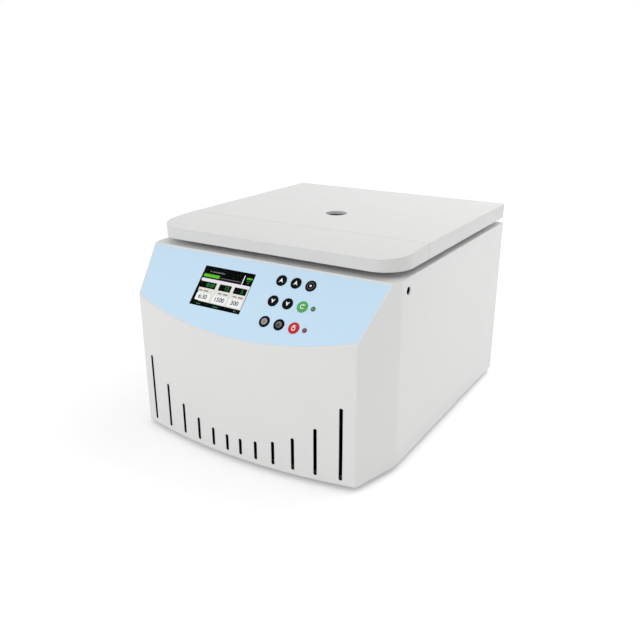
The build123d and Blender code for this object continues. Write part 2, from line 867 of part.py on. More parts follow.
def lid_shell():
    """Rear part of the lid cover, with the viewport's well."""
    keep = block(-half, half, seam_y + lid_seam / 2, lid_back + 1, lid_bottom - 1, lid_top + 1)
    ledge_radius = viewport_radius - viewport_ledge
    well = prism(viewport_radius + lid_wall, viewport_well_sides, lid_bottom + liner_thickness,
                 lid_top - lid_wall / 2, 0, rotor_y)
    shell = (lid_cover() & keep) + well
    shell = shell - disc(viewport_radius, lid_top - viewport_recess - viewport_pane, lid_top + 1, 0, rotor_y)
    return shell - disc(ledge_radius, lid_bottom, lid_top, 0, rotor_y)


def lid_front_cap():
    """Front part of the lid cover, whose top curves down to the front edge."""
    keep = block(-half, half, lid_front - 1, seam_y - lid_seam / 2, lid_bottom - 1, lid_top + 1)
    return lid_cover() & keep


def liner_dish_radius():
    """Radius of the pressed dish that dips into the bowl's mouth."""
    return bowl_radius - liner_dish_inset


def lid_liner():
    """Sheet that closes the lid from below, with a shallow dish over the bowl."""
    plan = lid_plan(lid_wall + base_clearance)
    sheet = Pos(0, 0, lid_bottom) * extrude(plan, liner_thickness)
    radius = liner_dish_radius()
    low = lid_bottom - liner_dish_depth
    top = lid_bottom + liner_thickness
    rim = radius - liner_dish_depth
    dish = turned([(0, low), (rim, low), (radius, lid_bottom), (radius, top), (0, top)], rotor_y)
    floor = low + liner_thickness
    reach = corners_at(rim - liner_thickness, liner_hollow_sides)
    hollow = prism(reach, liner_hollow_sides, floor, top + 1, 0, rotor_y)
    hollow = hollow - prism(viewport_radius + lid_wall, viewport_well_sides, floor, top + 1, 0, rotor_y)
    opening = disc(viewport_radius - viewport_ledge, low - 1, lid_top, 0, rotor_y)
    return (sheet + dish).cut(hollow, opening)


def viewport_window():
    """Clear pane on the ledge of the viewport's well."""
    high = lid_top - viewport_recess
    reach = corners_at(viewport_radius, viewport_pane_sides)
    return prism(reach, viewport_pane_sides, high - viewport_pane, high, 0, rotor_y)


def striker_eye():
    """Window in the striker that the lock bolt enters."""
    return square_x(bolt_size / 2 + striker_eye_gap, -lock_wall, lock_wall, bolt_y, bolt_height)


def lid_striker():
    """Plate under the lid's front that drops through the deck into the lock."""
    low = bolt_height - bolt_size / 2 - striker_eye_gap - striker_below
    width = striker_width / 2
    thick = striker_thickness / 2
    plate = block(-thick, thick, bolt_y - width, bolt_y + width, low, lid_bottom)
    foot = block(-width, width, bolt_y - width, bolt_y + width, lid_bottom - striker_thickness, lid_bottom)
    corners = plate.edges().filter_by(Axis.X).group_by(Axis.Z)[0]
    plate = chamfer(corners, striker_below / 2)
    return plate + foot - striker_eye()


def striker_slot():
    """Opening in the deck that the striker passes."""
    x = striker_thickness / 2 + striker_slot_gap
    y = striker_width / 2 + striker_slot_gap
    return block(-x, x, bolt_y - y, bolt_y + y, deck_under - wall, deck_height + wall)


# ---------------------------------------------------------------- lid lock
def latch_housing():
    """Lock body under the deck: bolt guide on the left, keeper on the right, open between them."""
    reach = bolt_size / 2 + lock_wall
    low = bolt_height - reach - striker_below
    body = block(lock_left, lock_right, bolt_y - reach, bolt_y + reach, low, deck_under)
    path = bolt_size / 2 + bolt_clearance
    channel = square_x(path, lock_left - 1, lock_right + 1, bolt_y, bolt_height)
    gap = striker_thickness / 2 + striker_slot_gap
    mouth = block(-gap, gap, bolt_y - 2 * reach, bolt_y + 2 * reach, low + lock_wall / 2, deck_under + 1)
    return body - channel - mouth


def latch_bolt():
    """Square bolt with a bevelled tip."""
    bolt = square_x(bolt_size / 2, bolt_rest_end - bolt_length, bolt_rest_end, bolt_y, bolt_height)
    return chamfer(bolt.edges().filter_by(Axis.Y).group_by(Axis.X)[-1], bolt_bevel)


def latch_solenoid():
    """Box-frame solenoid that drives the bolt, hung at the end of the lock body."""
    left = lock_left - solenoid_length
    case = square_x(solenoid_half, left, lock_left, bolt_y, bolt_height)
    reach = solenoid_half / 2
    saddle = block(left, lock_left, bolt_y - reach, bolt_y + reach, bolt_height, deck_under)
    return case + saddle


def release_tube():
    """Square guide tube from the hole in the side to the lock, for the emergency release pin."""
    end = half - wall
    pipe = square_x(release_radius + release_tube_wall, lock_right, end, bolt_y, bolt_height)
    drop = deck_under - bolt_height
    middle = Pos((lock_right + end) / 2, bolt_y, deck_under - drop / 2)
    hanger = middle * Box(hanger_width, hanger_thickness, drop)
    return pipe + hanger - square_x(release_radius, lock_right - 1, end + 1, bolt_y, bolt_height)


# ---------------------------------------------------------------- hinges
def hinge_places():
    """Middles of the two hinges."""
    return [-hinge_spacing / 2, hinge_spacing / 2]


def hinge_prism(apothem, x0, x1):
    """A many-sided bar along the hinge's axis."""
    return Pos(x0, hinge_y, hinge_z) * Rot(0, 90, 0) * prism(apothem, knuckle_sides, 0, x1 - x0)


def hinge_leaf(x, base_z, spans):
    """A leaf plate centred at x, with a knuckle over each span of its width."""
    front = hinge_y - hinge_leaf_depth
    edge = hinge_y - knuckle_radius - 2 * hinge_side_gap
    top_z = base_z + hinge_leaf_thickness
    parts = [block(x - hinge_width / 2, x + hinge_width / 2, front, edge, base_z, top_z)]
    for a, b in spans:
        parts.append(block(x + a, x + b, edge, hinge_y, base_z, top_z))
        parts.append(hinge_prism(knuckle_radius, x + a, x + b))
    return joined(parts)


def hinge_fixed_leaves():
    """Leaves on the deck, with the outer knuckles and the pin that is pressed into them."""
    middle = hinge_middle / 2 + hinge_side_gap
    end = hinge_width / 2
    leaf = hinge_leaf(0, deck_height, [(-end, -middle), (middle, end)])
    leaf = leaf + hinge_prism(corners_at(hinge_pin_radius, knuckle_sides), -middle, middle)
    return group([Pos(x, 0, 0) * leaf for x in hinge_places()])


def hinge_moving_leaves():
    """Leaves under the lid, with the middle knuckle."""
    middle = hinge_middle / 2
    bore = hinge_prism(hinge_pin_radius + pin_clearance, -middle - 1, middle + 1)
    leaf = hinge_leaf(0, lid_bottom - hinge_leaf_thickness, [(-middle, middle)]) - bore
    return group([Pos(x, 0, 0) * leaf for x in hinge_places()])


# ---------------------------------------------------------------- rear services
def fan_front():
    """Inner face of the fan frame."""
    return body_back - rear_thickness - fan_depth


def fan_pin_end():
    """Free end of the pin that the impeller turns on."""
    return fan_front() + fan_pin_length


def fan_prism(apothem, sides, y0, y1):
    """A regular prism lying along the fan's axis."""
    return Pos(fan_x, y1, fan_z) * Rot(90, 0, 0) * prism(apothem, sides, 0, y1 - y0)


def fan_frame():
    """Square fan frame with its bore, motor seat, struts and pin."""
    front = fan_front()
    back = body_back - rear_thickness
    s = fan_size / 2
    frame = block(fan_x - s, fan_x + s, front, back, fan_z - s, fan_z + s)
    frame = frame - fan_prism(fan_bore, fan_bore_sides, front - 1, back + 1)
    seat = fan_prism(fan_hub, fan_hub_sides, front, front + fan_seat)
    pin = fan_prism(corners_at(fan_pin_radius, fan_pin_sides), fan_pin_sides, front, fan_pin_end())
    strut = block(-fan_seat / 2, fan_seat / 2, front, front + fan_seat, 0, fan_bore + 1)
    struts = [Pos(fan_x, 0, fan_z) * Rot(0, 45 + 90 * i, 0) * strut for i in range(4)]
    return frame.fuse(seat, pin, *struts)


def fan_impeller():
    """Hub and pitched blades that turn on the frame's pin."""
    front = fan_front() + fan_seat + 2 * fan_blade_gap
    back = body_back - rear_thickness - fan_blade_gap
    reach = sqrt((fan_bore - fan_blade_gap) ** 2 - (fan_chord / 2) ** 2)
    hub = fan_prism(fan_hub, fan_hub_sides, front, back)
    root = fan_hub - fan_blade_root
    sheet = Box(reach - root, fan_chord, fan_blade_sheet)
    blade = Pos((root + reach) / 2, 0, 0) * Rot(fan_pitch, 0, 0) * sheet
    place = Pos(fan_x, (front + back) / 2, fan_z)
    blades = [place * Rot(0, 360.0 * i / fan_blades, 0) * blade for i in range(fan_blades)]
    clear = fan_pin_radius + shaft_clearance
    bore = fan_prism(clear, fan_pin_sides, front - 1, fan_pin_end() + base_clearance)
    return hub.fuse(*blades) - bore


def power_inlet():
    """Three-pin appliance inlet with its flange and blades."""
    w, h = inlet_width / 2, inlet_height / 2
    body = block(-w, w, body_back - inlet_depth, body_back, -h, h)
    mouth = body_back + inlet_flange_thickness
    fw, fh = inlet_flange_width / 2, inlet_flange_height / 2
    flange = block(-fw, fw, body_back, mouth, -fh, fh)
    flange = chamfer(flange.edges().filter_by(Axis.Y), inlet_flange_bevel)
    floor = mouth - inlet_socket_depth
    inner_w = w - inlet_wall
    inner_h = h - inlet_wall
    socket = block(-inner_w, inner_w, floor, mouth + 1, -inner_h, inner_h)
    socket = chamfer(socket.edges().filter_by(Axis.Y).group_by(Axis.Z)[-1], inlet_chamfer)
    blade = block(-inlet_blade_thickness / 2, inlet_blade_thickness / 2, floor, mouth - inlet_blade_set_back,
                  -inlet_blade_height / 2, inlet_blade_height / 2)
    line = Pos(0, 0, -inlet_earth_raise / 2)
    blades = [Pos(0, 0, inlet_earth_raise / 2) * blade]
    blades += [line * Pos(side * inlet_blade_pitch, 0, 0) * blade for side in (-1, 1)]
    return Pos(services_x, 0, inlet_z) * (body + flange - socket).fuse(*blades)


def switch_housing():
    """Rocker switch body with a rim on the rear panel, open for the rocker."""
    w, h = switch_width / 2, switch_height / 2
    body = block(-w, w, body_back - switch_depth, body_back, -h, h)
    rim_top = body_back + switch_rim
    rim = block(-w - switch_rim, w + switch_rim, body_back, rim_top, -h - switch_rim, h + switch_rim)
    rim = chamfer(rim.edges().filter_by(Axis.Y), switch_rim / 2)
    inner_w = w - switch_wall
    inner_h = h - switch_wall
    opening = block(-inner_w, inner_w, body_back - switch_well, rim_top + 1, -inner_h, inner_h)
    return Pos(services_x, 0, switch_z) * (body + rim - opening)


def power_rocker():
    """Rocker with two faces that meet at its middle, drawn with its lower half standing out."""
    w = switch_width / 2 - switch_wall - rocker_clearance
    h = switch_height / 2 - switch_wall - 2 * rocker_clearance
    lean = tan(radians(rocker_angle))
    face = rocker_axis_depth + rocker_face
    keel = rocker_axis_depth - rocker_keel
    points = [(face, 0), (face + h * lean, -h), (0, -h), (keel, 0), (0, h), (face, h)]
    profile = Polyline(*[(0, y, z) for y, z in points], close=True)
    rocker = extrude(make_face(profile), w, both=True)
    return Pos(services_x, body_back - rocker_axis_depth, switch_z) * rocker


def power_board():
    """Supply and motor-drive board on standoffs at the front of the base."""
    x, y = power_board_x / 2, power_board_y / 2
    middle = body_front + power_board_front + y
    low = tray_top + standoff_height
    top = low + board_thickness
    across = standoff_across / 2
    edge = across + 1
    board = block(-x, x, -y, y, low, top)
    corners = [(sx * (x - edge), sy * (y - edge)) for sx in (-1, 1) for sy in (-1, 1)]
    standoffs = [prism(across, 6, tray_top, low, *corner) for corner in corners]
    end = x - edge - across
    supply = block(-end, supply_width - end, edge - y, y - edge, top, top + supply_height)
    drive = block(end - drive_width, end, edge - y, y - edge, top, top + drive_height)
    return Pos(0, middle, 0) * board.fuse(*standoffs, supply, drive)


# ---------------------------------------------------------------- all sub-parts
def build_nodes():
    """Every sub-part by name."""
    nodes = {
        "outer_casing": outer_casing(),
        "rear_panel": rear_panel(),
        "base_tray": base_tray(),
        "rubber_feet": rubber_feet(),
        "panel_overlay": panel_overlay(),
        "display_window": display_window(),
        "display_module": display_module(),
        "control_board": control_board(),
        "chamber_bowl": chamber_bowl(),
        "chamber_gasket": chamber_gasket(),
        "guard_ring": guard_ring(),
        "motor_body": motor_body(),
        "motor_mount": motor_mount(),
        "vibration_dampers": vibration_dampers(),
        "drive_shaft": drive_shaft(),
        "rotor_head": rotor_head(),
        "rotor_knob": rotor_knob(),
        "lid_shell": lid_shell(),
        "lid_front_cap": lid_front_cap(),
        "lid_liner": lid_liner(),
        "viewport_window": viewport_window(),
        "lid_striker": lid_striker(),
        "latch_housing": latch_housing(),
        "latch_bolt": latch_bolt(),
        "latch_solenoid": latch_solenoid(),
        "release_tube": release_tube(),
        "hinge_fixed_leaves": hinge_fixed_leaves(),
        "hinge_moving_leaves": hinge_moving_leaves(),
        "fan_frame": fan_frame(),
        "fan_impeller": fan_impeller(),
        "power_inlet": power_inlet(),
        "switch_housing": switch_housing(),
        "power_rocker": power_rocker(),
        "power_board": power_board(),
    }
    for name, (x, down) in zip(key_names, key_centres):
        nodes[name] = key(x, down)
    for name, down in lamp_downs.items():
        nodes[name] = lamp(down)
    for index in range(holder_count):
        nodes[f"slide_holder_{index + 1}"] = slide_holder(index)
    return nodes


def main():
    os.makedirs("parts", exist_ok=True)
    for name, shape in build_nodes().items():
        export_step(shape, f"parts/{name}.step")


if __name__ == "__main__":
    main()
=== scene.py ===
"""Looks of the cytocentrifuge: finishes for every CAD node, and the small pieces that only show."""
import json
from math import atan2, cos, pi, radians, sin, tan

import bmesh
import bpy
from mathutils import Matrix, Vector

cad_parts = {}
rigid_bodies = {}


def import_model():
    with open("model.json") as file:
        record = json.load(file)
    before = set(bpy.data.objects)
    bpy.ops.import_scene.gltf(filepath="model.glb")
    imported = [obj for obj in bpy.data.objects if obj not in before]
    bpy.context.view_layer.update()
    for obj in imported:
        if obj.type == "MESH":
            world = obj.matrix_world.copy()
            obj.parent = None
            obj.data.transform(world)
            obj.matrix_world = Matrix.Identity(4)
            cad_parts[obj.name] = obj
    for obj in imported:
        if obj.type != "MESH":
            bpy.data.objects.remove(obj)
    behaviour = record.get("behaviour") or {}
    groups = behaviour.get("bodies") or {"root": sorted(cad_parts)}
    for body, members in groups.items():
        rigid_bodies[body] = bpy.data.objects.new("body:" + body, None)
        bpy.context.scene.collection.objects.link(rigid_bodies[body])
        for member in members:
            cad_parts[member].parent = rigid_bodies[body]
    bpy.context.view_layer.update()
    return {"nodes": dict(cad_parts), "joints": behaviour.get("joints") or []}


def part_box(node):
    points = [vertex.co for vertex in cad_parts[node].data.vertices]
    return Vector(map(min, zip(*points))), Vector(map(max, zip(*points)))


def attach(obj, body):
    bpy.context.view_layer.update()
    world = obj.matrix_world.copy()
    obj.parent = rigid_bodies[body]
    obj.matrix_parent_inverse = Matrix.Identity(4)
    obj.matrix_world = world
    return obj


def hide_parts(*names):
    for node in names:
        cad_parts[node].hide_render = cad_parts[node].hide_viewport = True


MM = 0.001
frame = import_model()
nodes = frame["nodes"]

# ---------------------------------------------------------------- sizes and places
# Camera, fitted to the straight edges of the case and lid
camera_place = Vector((587.6, -969.1, 565.4)) * MM
camera_yaw = radians(31.70)
camera_pitch = radians(-20.46)
camera_roll = radians(0.03)
sensor = 36.0
focal_in_frames = 701.8 / 640.0        # focal length over the frame's width

# Light: strengths at which a colour renders about as it is written
world_light = 0.6
lamps = (
    ("front_left_light", (-0.85, -2.7, 1.6), 3.0, 34.5),
    ("right_light", (2.5, 0.7, 1.5), 2.2, 10.0),
    ("rear_light", (0.45, 0.95, 1.45), 1.3, 10.5),
)
lamp_aim = Vector((0, 0, 0.15))
floor_half = 30.0
floor_albedo = 0.88
floor_near, floor_far = 0.5, 4.0       # distances between which the floor fades to the backdrop, m
floor_lift_near, floor_lift_far = 0.27, 0.6

# Control panel: its frame comes from a key's travel and the overlay's surface
key_press = next(j for j in frame["joints"] if j["name"] == "key_start_press")
panel_in = Vector(key_press["axis"]).normalized()
panel_out = -panel_in
panel_across = Vector((1, 0, 0))
panel_up = panel_out.cross(panel_across)
print_lift = 0.04                      # printed marks above what carries them, mm
print_depth = 0.06
key_dish = -0.3                        # middle of a key's dish below its rim, mm
key_dish_rise = 0.12                   # rise of the dish out to the edge of its mark
key_cap_radius = 8.4
key_cap_height = 5.4
key_rim_inner = 8.6
key_rim_outer = 9.4
key_sides = 56                         # sides of the round outlines
turned_sides = 32
small_sides = 24

# Read-out behind the display's pane, mm
screen_behind = 1.2
screen_layer = 0.08
screen_depth = 0.04
digit_weight = 0.16

# Painted shade in the air slots: a thin near-black sheet on the slot walls
slot_shade_thick = 0.3 * MM
slot_shade_reach = 38 * MM                 # the slots are this near the front of the bowed face
slot_shade_low = 14 * MM
slot_shade_high = 150 * MM
slot_shade_turn = 0.2                      # most that a slot's wall faces front or rear
weld = 0.001 * MM

# Marks on the power rocker, mm
rocker_lean = radians(9)
rocker_mark_half = 2.4
rocker_bar_half = 0.4
rocker_ring_inner = 1.7

# Screws: radius of the head and distance from the edges of what they hold, mm
screw_crown = 0.55                     # height of a head over its radius
screw_arm, screw_slim = 0.5, 0.13      # arms of the recess over the radius
panel_screw, panel_screw_edge = 3.2, 7
fan_screw, fan_screw_edge = 3.0, 4.5
inlet_screw, inlet_screw_edge = 2.4, 5.5
liner_screw, liner_screw_edge = 2.6, 9
liner_screw_front = 60
liner_screw_across = 120
hinge_screw, hinge_screw_edge = 2.4, 12
hinge_screw_front = 8
hinge_leaf_width = 62
hinge_leaf_thick = 1.8
tray_screw_edge = 11
tray_screw_rows = (50, -145)           # rows along the sides
tray_screw_bow = (100, 17)             # across, and behind the front of the bow

# Hand knob on the rotor
knob_flutes = 10
knob_flute_steps = 10
knob_groove = 0.09                     # depth of a flute, over the knob's radius
knob_skirt = 0.8                       # the flutes are outside of this share of the radius

# Slide holders, in millimetres about their knife edges, drawn upright
holder_joints = [j for j in frame["joints"] if j["name"].startswith("holder_")]
holder_lean = radians(20)
slide_length = 76.0
slide_width = 26.0
slide_thickness = 1.0
slide_below = 22.0
slide_offset = 6.0
slide_clip = 1.2
frosted_length = 20.0
clip_sheet = 1.2
clip_depth = 11.0
clip_side_gap = 1.5
clip_top_cut = 4.0
clip_lip = 4.0
clip_lip_top = 34.5
knife_angle = radians(30)
knife_height = 4.2
knife_length = 5.0
block_thick = 7.5
block_low = -8.0
block_high = 36.0
tongue_step = 0.5
card_above = 6
card_corner = 1.5
card_front, card_back = 0.15, 0.02     # the card's two faces before the slide
cup_radius = 9.0
cup_wall = 1.6
cup_low = 4.0
cup_high = 46.0
cup_sink = 0.5
cup_chamfer = 1.5
cup_rim = 0.4
cup_slope = 5
cup_floor = 3
port_half = 3.0
port_height = 11.0
slack = 0.2
cut_over = 1                           # how far a cut runs past what it cuts


# ---------------------------------------------------------------- colours and shader nodes
def srgb(red, green, blue):
    """A linear colour from 0-255 display values."""
    def linear(value):
        value /= 255.0
        return value / 12.92 if value <= 0.04045 else ((value + 0.055) / 1.055) ** 2.4
    return (linear(red), linear(green), linear(blue), 1.0)


def shade(colour, factor):
    """The colour made lighter or darker."""
    return tuple(min(channel * factor, 1.0) for channel in colour[:3]) + (1.0,)


def add(tree, kind, inputs=None, **settings):
    """A shader node with its settings and input values."""
    node = tree.nodes.new(kind)
    for name, value in settings.items():
        setattr(node, name, value)
    for name, value in (inputs or {}).items():
        node.inputs[name].default_value = value
    return node


def new_material(name, colour, roughness, metallic=0.0):
    """A material with a principled shader; returns it, its node tree and the shader."""
    material = bpy.data.materials.new(name)
    material.use_nodes = True
    tree = material.node_tree
    shader = tree.nodes["Principled BSDF"]
    shader.inputs["Base Color"].default_value = colour
    shader.inputs["Roughness"].default_value = roughness
    shader.inputs["Metallic"].default_value = metallic
    return material, tree, shader


def object_place(tree, stretch=(1, 1, 1)):
    """Coordinates in the row frame, stretched."""
    coordinates = add(tree, "ShaderNodeTexCoord")
    mapping = add(tree, "ShaderNodeMapping", {"Scale": stretch})
    tree.links.new(coordinates.outputs["Object"], mapping.inputs["Vector"])
    return mapping.outputs["Vector"]


def ring_place(tree, centre, fineness):
    """Coordinates that change with height and with distance from an upright axis, and not round it."""
    coordinates = add(tree, "ShaderNodeTexCoord")
    shift = add(tree, "ShaderNodeMapping", {"Location": (-centre.x, -centre.y, 0)})
    tree.links.new(coordinates.outputs["Object"], shift.inputs["Vector"])
    split = add(tree, "ShaderNodeSeparateXYZ")
    tree.links.new(shift.outputs["Vector"], split.inputs["Vector"])
    flat = add(tree, "ShaderNodeCombineXYZ")
    tree.links.new(split.outputs["X"], flat.inputs["X"])
    tree.links.new(split.outputs["Y"], flat.inputs["Y"])
    length = add(tree, "ShaderNodeVectorMath", operation="LENGTH")
    tree.links.new(flat.outputs["Vector"], length.inputs[0])
    place = add(tree, "ShaderNodeCombineXYZ")
    tree.links.new(length.outputs["Value"], place.inputs["X"])
    tree.links.new(split.outputs["Z"], place.inputs["Y"])
    scaled = add(tree, "ShaderNodeMapping", {"Scale": (fineness, fineness, 1)})
    tree.links.new(place.outputs["Vector"], scaled.inputs["Vector"])
    return scaled.outputs["Vector"]


def noise(tree, place, scale, detail=3.0, roughness=0.5):
    """Noise value at a place."""
    texture = add(tree, "ShaderNodeTexNoise", {"Scale": scale, "Detail": detail, "Roughness": roughness})
    tree.links.new(place, texture.inputs["Vector"])
    return texture.outputs["Fac"]


def vary_colour(tree, shader, colour, amount, value):
    """Base colour that drifts a little lighter and darker with a noise value."""
    mix = add(tree, "ShaderNodeMix", data_type="RGBA")
    mix.inputs["A"].default_value = shade(colour, 1 - amount)
    mix.inputs["B"].default_value = shade(colour, 1 + amount)
    tree.links.new(value, mix.inputs["Factor"])
    tree.links.new(mix.outputs["Result"], shader.inputs["Base Color"])


def vary_roughness(tree, shader, low, high, value):
    """Roughness between two limits, by a noise value."""
    spread = add(tree, "ShaderNodeMapRange",
                 {"From Min": 0.3, "From Max": 0.7, "To Min": low, "To Max": high})
    tree.links.new(value, spread.inputs["Value"])
    tree.links.new(spread.outputs["Result"], shader.inputs["Roughness"])


def relief(tree, shader, value, depth, edge=0.0):
    """Fine bump over softly rounded edges."""
    bump = add(tree, "ShaderNodeBump", {"Strength": 1.0, "Distance": depth})
    tree.links.new(value, bump.inputs["Height"])
    if edge:
        rounding = add(tree, "ShaderNodeBevel", {"Radius": edge}, samples=6)
        tree.links.new(rounding.outputs["Normal"], bump.inputs["Normal"])
    tree.links.new(bump.outputs["Normal"], shader.inputs["Normal"])


# ---------------------------------------------------------------- materials
def paint(name, colour, roughness=0.42, edge=1.2 * MM):
    """Powder coat: fine orange peel, slight drift of colour and gloss, rounded edges."""
    material, tree, shader = new_material(name, colour, roughness)
    place = object_place(tree)
    vary_colour(tree, shader, colour, 0.012, noise(tree, place, 9.0))
    vary_roughness(tree, shader, roughness - 0.04, roughness + 0.05, noise(tree, place, 30.0))
    relief(tree, shader, noise(tree, place, 900.0, 2.0), 0.03 * MM, edge)
    return material


def moulded(name, colour, roughness=0.45, grain=1600.0, depth=0.02, edge=0.5 * MM, gloss=0.5):
    """Moulded plastic: fine spark grain and a faint mottle."""
    material, tree, shader = new_material(name, colour, roughness)
    shader.inputs["Specular IOR Level"].default_value = gloss
    place = object_place(tree)
    vary_colour(tree, shader, colour, 0.03, noise(tree, place, 60.0))
    vary_roughness(tree, shader, roughness - 0.05, roughness + 0.06, noise(tree, place, 120.0))
    relief(tree, shader, noise(tree, place, grain, 2.0), depth * MM, edge)
    return material


def turned_metal(name, colour, roughness, centre, fineness=900.0, edge=0.4 * MM):
    """Metal with fine turning marks round an upright axis."""
    material, tree, shader = new_material(name, colour, roughness, 1.0)
    rings = noise(tree, ring_place(tree, centre, fineness), 1.0, 4.0, 0.7)
    vary_colour(tree, shader, colour, 0.06, rings)
    vary_roughness(tree, shader, roughness - 0.07, roughness + 0.08, rings)
    relief(tree, shader, rings, 0.012 * MM, edge)
    return material


def plated_metal(name, colour, roughness, stretch=(1, 1, 1), edge=0.4 * MM, cloud=0.08):
    """Plated or rolled sheet: cloudy patches and a faint grain along the rolling direction."""
    material, tree, shader = new_material(name, colour, roughness, 1.0)
    patches = noise(tree, object_place(tree), 45.0, 5.0, 0.6)
    vary_colour(tree, shader, colour, cloud, patches)
    vary_roughness(tree, shader, roughness - cloud, roughness + cloud, patches)
    relief(tree, shader, noise(tree, object_place(tree, stretch), 1200.0, 2.0), 0.008 * MM, edge)
    return material


def rubber(name, colour, roughness=0.75):
    """Matt rubber with a dusty bloom and a slightly rough skin."""
    material, tree, shader = new_material(name, colour, roughness)
    place = object_place(tree)
    vary_colour(tree, shader, colour, 0.2, noise(tree, place, 80.0))
    vary_roughness(tree, shader, roughness - 0.1, roughness + 0.1, noise(tree, place, 200.0))
    relief(tree, shader, noise(tree, place, 1500.0, 2.0), 0.05 * MM, 0.6 * MM)
    return material


def clear(name, tint, roughness=0.02, index=1.45):
    """Clear pane with faint smears in its polish; a low index stands for a coating against glare."""
    material, tree, shader = new_material(name, tint, roughness)
    shader.inputs["Transmission Weight"].default_value = 1.0
    shader.inputs["IOR"].default_value = index
    vary_roughness(tree, shader, roughness * 0.5, roughness * 2, noise(tree, object_place(tree), 40.0))
    return material


def printed(name, colour, roughness=0.4):
    """Printing ink: flat colour with a slightly uneven film."""
    material, tree, shader = new_material(name, colour, roughness)
    place = object_place(tree)
    vary_colour(tree, shader, colour, 0.02, noise(tree, place, 400.0))
    relief(tree, shader, noise(tree, place, 2500.0, 1.0), 0.004 * MM)
    return material


def glowing(name, colour, strength=0.9):
    """Lit area of the display."""
    material, tree, shader = new_material(name, shade(colour, 0.05), 0.5)
    shader.inputs["Specular IOR Level"].default_value = 0.0
    shader.inputs["Emission Color"].default_value = colour
    shader.inputs["Emission Strength"].default_value = strength
    vary_roughness(tree, shader, 0.45, 0.55, noise(tree, object_place(tree), 500.0))
    return material


def circuit_board(name, colour):
    """Solder mask with copper tracks faintly raised under it."""
    material, tree, shader = new_material(name, colour, 0.35)
    cells = add(tree, "ShaderNodeTexVoronoi", {"Scale": 160.0},
                distance="MANHATTAN", feature="DISTANCE_TO_EDGE")
    tree.links.new(object_place(tree), cells.inputs["Vector"])
    tracks = add(tree, "ShaderNodeMapRange", {"From Min": 0.05, "From Max": 0.09})
    tree.links.new(cells.outputs["Distance"], tracks.inputs["Value"])
    vary_colour(tree, shader, colour, 0.25, tracks.outputs["Result"])
    relief(tree, shader, tracks.outputs["Result"], 0.03 * MM)
    return material


def dress(material, *names):
    """Gives CAD nodes a material."""
    for name in names:
        slots = nodes[name].data.materials
        slots.clear()
        slots.append(material)


rotor_low, rotor_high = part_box("rotor_head")
rotor_axis = (rotor_low + rotor_high) / 2

case_white = paint("case_white", srgb(226, 226, 225))
# the case's white made darker on the lid: painted shade for the lid's darker tones
lid_white_with_painted_shade = paint("lid_white_with_painted_shade", srgb(215, 215, 214), 0.38, 1.6 * MM)
rear_white = paint("rear_white", srgb(224, 224, 223))
panel_blue = printed("panel_blue", srgb(199, 227, 247), 0.42)
black_plastic = moulded("black_plastic", srgb(30, 31, 33))
socket_black = moulded("socket_black", srgb(24, 24, 26), 0.5)
# near-black without gloss; on the air slots' walls it is painted shade
matt_black = moulded("matt_black", srgb(4, 4, 5), 0.9, gloss=0.0)
key_black = moulded("key_black", srgb(5, 6, 7), 0.45, gloss=0.05)
key_green = moulded("key_green", srgb(73, 169, 82), 0.3, gloss=0.25)
key_red = moulded("key_red", srgb(198, 15, 23), 0.3, gloss=0.25)
stainless = turned_metal("stainless", srgb(205, 206, 208), 0.26, rotor_axis, 1400.0)
machined = turned_metal("machined", srgb(214, 216, 220), 0.3, rotor_axis, 900.0)
zinc = plated_metal("zinc", srgb(190, 193, 196), 0.36)
ground_steel = plated_metal("ground_steel", srgb(200, 201, 203), 0.22, (1, 1, 0.05))
liner_metal = plated_metal("liner_metal", srgb(208, 210, 212), 0.4, (1, 0.03, 1), cloud=0.03)
black_rubber = rubber("black_rubber", srgb(34, 34, 35))
grey_rubber = rubber("grey_rubber", srgb(72, 73, 75), 0.7)
screen_pane = clear("screen_pane", srgb(250, 252, 253), 0.02, 1.08)
viewport_pane = clear("viewport_pane", srgb(84, 85, 88), 0.02, 1.08)
# near-black base tray: painted shade, so the case's inside seen through the air slots looks dark
tray_painted_shade = paint("tray_painted_shade", srgb(22, 22, 24), 0.5)
motor_paint = paint("motor_paint", srgb(62, 64, 68), 0.5)
laminate = circuit_board("laminate", srgb(12, 66, 38))
module_black = moulded("module_black", srgb(10, 10, 12), 0.5, gloss=0.1)
clip_steel = plated_metal("clip_steel", srgb(205, 206, 208), 0.25, (1, 1, 0.04))
chamber_white = moulded("chamber_white", srgb(236, 236, 232), 0.38, edge=0.3 * MM)
slide_glass = clear("slide_glass", srgb(238, 248, 244), 0.01)
slide_frost = moulded("slide_frost", srgb(238, 240, 240), 0.7)
screw_steel = plated_metal("screw_steel", srgb(188, 190, 193), 0.3)
# dark cross on the screw heads: painted shade of the cross recesses, which are not cut
screw_recess_painted_shade = moulded("screw_recess_painted_shade", srgb(30, 30, 32), 0.6)
mark_white = printed("mark_white", srgb(250, 250, 249), 0.45)
mark_grey = printed("mark_grey", srgb(150, 146, 140), 0.45)
mark_dim = printed("mark_dim", srgb(106, 102, 98), 0.45)
mark_black = printed("mark_black", srgb(18, 18, 19), 0.45)

dress(case_white, "outer_casing")
dress(rear_white, "rear_panel")
dress(lid_white_with_painted_shade, "lid_shell", "lid_front_cap")
dress(panel_blue, "panel_overlay")
dress(screen_pane, "display_window")
dress(viewport_pane, "viewport_window")
dress(module_black, "display_module")
dress(laminate, "control_board", "power_board")
dress(stainless, "chamber_bowl")
dress(machined, "rotor_head")
dress(black_plastic, "rotor_knob", "latch_housing", "fan_frame", "fan_impeller")
dress(matt_black, "release_tube")
dress(socket_black, "power_inlet", "switch_housing", "power_rocker", "lamp_run", "lamp_stop")
